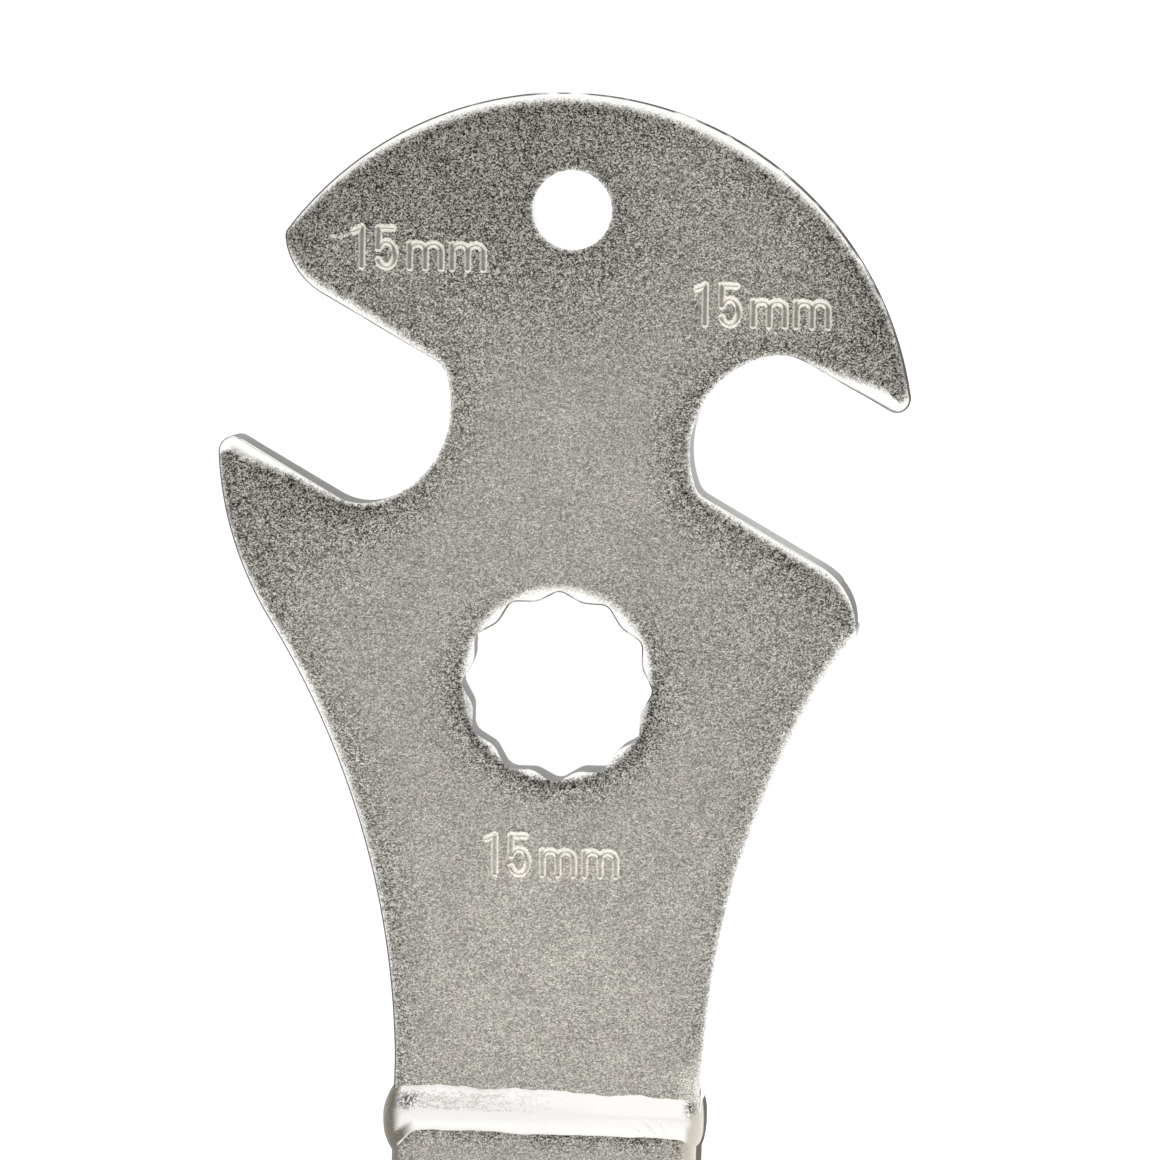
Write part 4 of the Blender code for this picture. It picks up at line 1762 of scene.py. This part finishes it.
    def looks(self, at: BeadGrid) -> dict[str, np.ndarray]:
        """Attributes of the bead.

        Formula: each is a product of easings along x and v. The ends' painted
        shade takes in the left corner and a strip on the right, and the folds
        take the painted shade of the flat part too.

        Args:
            at: The grid.

        Returns:
            Shares of painted shade in the pits, on the ends, on the right rim and on the flat part,
            by name.
        """
        x, v = at.x, at.v
        # The left corner and the right strip take the ends' painted shade.
        corner = smooth_step(-11.5, -12.9, x) * smooth_step(-0.40, -0.62, v)
        corner = corner * smooth_step(-0.94, -0.88, v)
        strip = smooth_step(13.3, 13.7, x + 0.55 * smooth_step(0.3, -0.5, v))
        # Painted shade on the flat part, and more of it in the folds.
        flat_shade = at.on_left * smooth_step(-0.12, 0.05, v) * smooth_step(0.98, 0.7, v) * at.front
        # The right rim's painted shade, on sideways-facing metal towards the back.
        rim = smooth_step(0.7, 0.95, at.side) * (x > 0) * smooth_step(5.0, 3.6, at.base[..., 1])
        return {
            "pit": self.pits(at),
            "end": np.maximum(smooth_step(0.12, 0.55, at.side), np.maximum(corner, strip)),
            "rim": rim,
            "flat_shade": np.maximum(flat_shade, 9.0 * self.chevron(at)),
        }

    def build(self) -> bpy.types.Object:
        """Builds and dresses the weld bead.

        Formula: the surface stands off the base along its normal, slants a
        little to the right, and a lower return closes it inside the metal.

        Returns:
            The finished piece.
        """
        low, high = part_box("weld_bead")
        at = self.grid()
        tilt = 0.18 + 0.013 * (at.x + 14.0) - 0.5 * at.at_left - 0.3 * at.at_right
        place = at.base + at.out * self.height(at)[..., None]
        z = np.clip(place[..., 1], low.z / MM, high.z / MM)
        skin = np.stack([place[..., 0], JOINT_Y + at.v * self.reach(at) + tilt, z], axis=-1)
        foot = at.base + at.out * -self.root_depth
        root = np.stack(
            [foot[..., 0], JOINT_Y + at.v * self.root_half + tilt, foot[..., 1]], axis=-1)
        rows = np.concatenate([skin, root[::-1]])
        shell = Shell()
        index = shell.add(rows.reshape(-1, 3), {
            name: np.concatenate([value, 0.0 * value]).ravel()
            for name, value in self.looks(at).items()})
        index = index.reshape(rows.shape[:2])
        shell.rows(np.vstack([index, index[:1]]))
        piece = shell.build("weld_bead_skin")
        piece.data.materials.append(WeldMetal().material())
        return settle(piece, "weld_bead")


def settle(piece: bpy.types.Object, node: str) -> bpy.types.Object:
    """Lets a piece stand for its CAD node: hides the node and hangs the piece on the root body.

    Args:
        piece: The finished piece.
        node: The CAD node that it replaces.

    Returns:
        The piece.
    """
    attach(piece, "root")
    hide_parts(node)
    return piece


@dataclass
class Studio:
    """A white tent that is darker overhead, a pale floor and the camera."""

    white: float = 1.15
    shade_depth: float = 0.70
    shade_centre: Pair = (0.06, 0.06)
    shade_width: Pair = (2.0, 0.28)
    floor_glow: float = 0.75
    floor_half: float = 3.0
    floor_drop: float = 0.00002
    lowest_rise: float = 0.05
    target: Triple = (0.00183, 0.12158, 0.00597)
    distance: float = 0.681
    lean_deg: Pair = (7.5, 7.1)
    roll_deg: float = 1.67
    lens: float = 236.7
    sensor: float = 36.0
    clip: Pair = (0.01, 50.0)

    def tent(self) -> None:
        """Lights the scene from all round.

        Formula: the brightness is even, less a bell round the shaded direction
        overhead, on the direction's x over z and y over z.
        """
        world = bpy.data.worlds.new("white_tent")
        net = Net.on(world)
        way = net.node("ShaderNodeTexCoord", output="Generated")
        parts = [net.node("ShaderNodeSeparateXYZ", {}, {0: way}, k) for k in range(3)]
        rise = net.maths("MAXIMUM", parts[2], self.lowest_rise)
        far_x = (parts[0] / rise - self.shade_centre[0]) / self.shade_width[0]
        far_y = (parts[1] / rise - self.shade_centre[1]) / self.shade_width[1]
        bell = net.maths("EXPONENT", (far_x * far_x + far_y * far_y) * -1.0)
        level = self.white * (1.0 - self.shade_depth * bell)
        glow = net.node("ShaderNodeBackground", {}, {0: (1.0, 0.995, 0.985, 1.0), 1: level})
        net.node("ShaderNodeOutputWorld", {}, {"Surface": glow})
        bpy.context.scene.world = world

    def floor(self) -> bpy.types.Object:
        """A plain pale floor under the wrench, which glows a little.

        Returns:
            The floor.
        """
        sides = np.array([(-1.0, -1.0), (1.0, -1.0), (1.0, 1.0), (-1.0, 1.0)])
        corners = np.column_stack([sides * self.floor_half, np.full(4, -self.floor_drop)])
        mesh = bpy.data.meshes.new("studio_floor")
        mesh.from_pydata(corners.tolist(), [], [(0, 1, 2, 3)])
        made = bpy.data.materials.new("pale_floor")
        net = Net.on(made)
        tone = net.noise(3.0, 2.0).ease(0.3, 0.7)
        colour = net.mix(tone, (0.60, 0.60, 0.60), (0.63, 0.63, 0.63))
        shader = net.node("ShaderNodeBsdfPrincipled", {}, {
            "Base Color": colour, "Roughness": 0.9, "Specular IOR Level": 0.1,
            "Emission Color": (1.0, 1.0, 1.0, 1.0), "Emission Strength": self.floor_glow})
        net.node("ShaderNodeOutputMaterial", {}, {"Surface": shader})
        mesh.materials.append(made)
        piece = bpy.data.objects.new("studio_floor", mesh)
        bpy.context.scene.collection.objects.link(piece)
        return piece

    def camera(self) -> bpy.types.Object:
        """The camera at the photo's viewing angle.

        Formula: its back axis leans from straight up by two angles along the
        rolled right and up directions, and it stands that far from the target.

        Returns:
            The camera object.
        """
        roll = math.radians(self.roll_deg)
        right = np.array([math.cos(roll), math.sin(roll), 0.0])
        up = np.array([-math.sin(roll), math.cos(roll), 0.0])
        lean = [math.tan(math.radians(angle)) for angle in self.lean_deg]
        back = lean[0] * right + lean[1] * up + np.array([0.0, 0.0, 1.0])
        back /= np.linalg.norm(back)
        x = np.cross(up, back)
        x /= np.linalg.norm(x)
        y = np.cross(back, x)
        place = np.array(self.target) + self.distance * back
        matrix = np.eye(4)
        matrix[:3, 0], matrix[:3, 1], matrix[:3, 2], matrix[:3, 3] = x, y, back, place
        data = bpy.data.cameras.new("camera")
        data.lens, data.sensor_width, data.sensor_fit = self.lens, self.sensor, "HORIZONTAL"
        data.clip_start, data.clip_end = self.clip
        made = bpy.data.objects.new("camera", data)
        bpy.context.scene.collection.objects.link(made)
        made.matrix_world = Matrix(matrix.tolist())
        bpy.context.scene.camera = made
        return made

    def build(self) -> None:
        """Sets up tent, floor, camera and the plain view transform."""
        self.tent()
        self.floor()
        self.camera()
        bpy.context.scene.view_settings.view_transform = "Standard"
        bpy.context.scene.view_settings.look = "None"


def main() -> None:
    """Builds the studio and the pieces in order, and reports each one."""
    logging.basicConfig(level=logging.INFO, format="%(message)s", stream=sys.stdout)
    Studio().build()
    for maker in (HeadPlate(), WeldBead(), HandleBar()):
        piece = maker.build()
        LOG.info("%s: %d triangles", piece.name, len(piece.data.polygons))


if __name__ == "__main__":
    main()
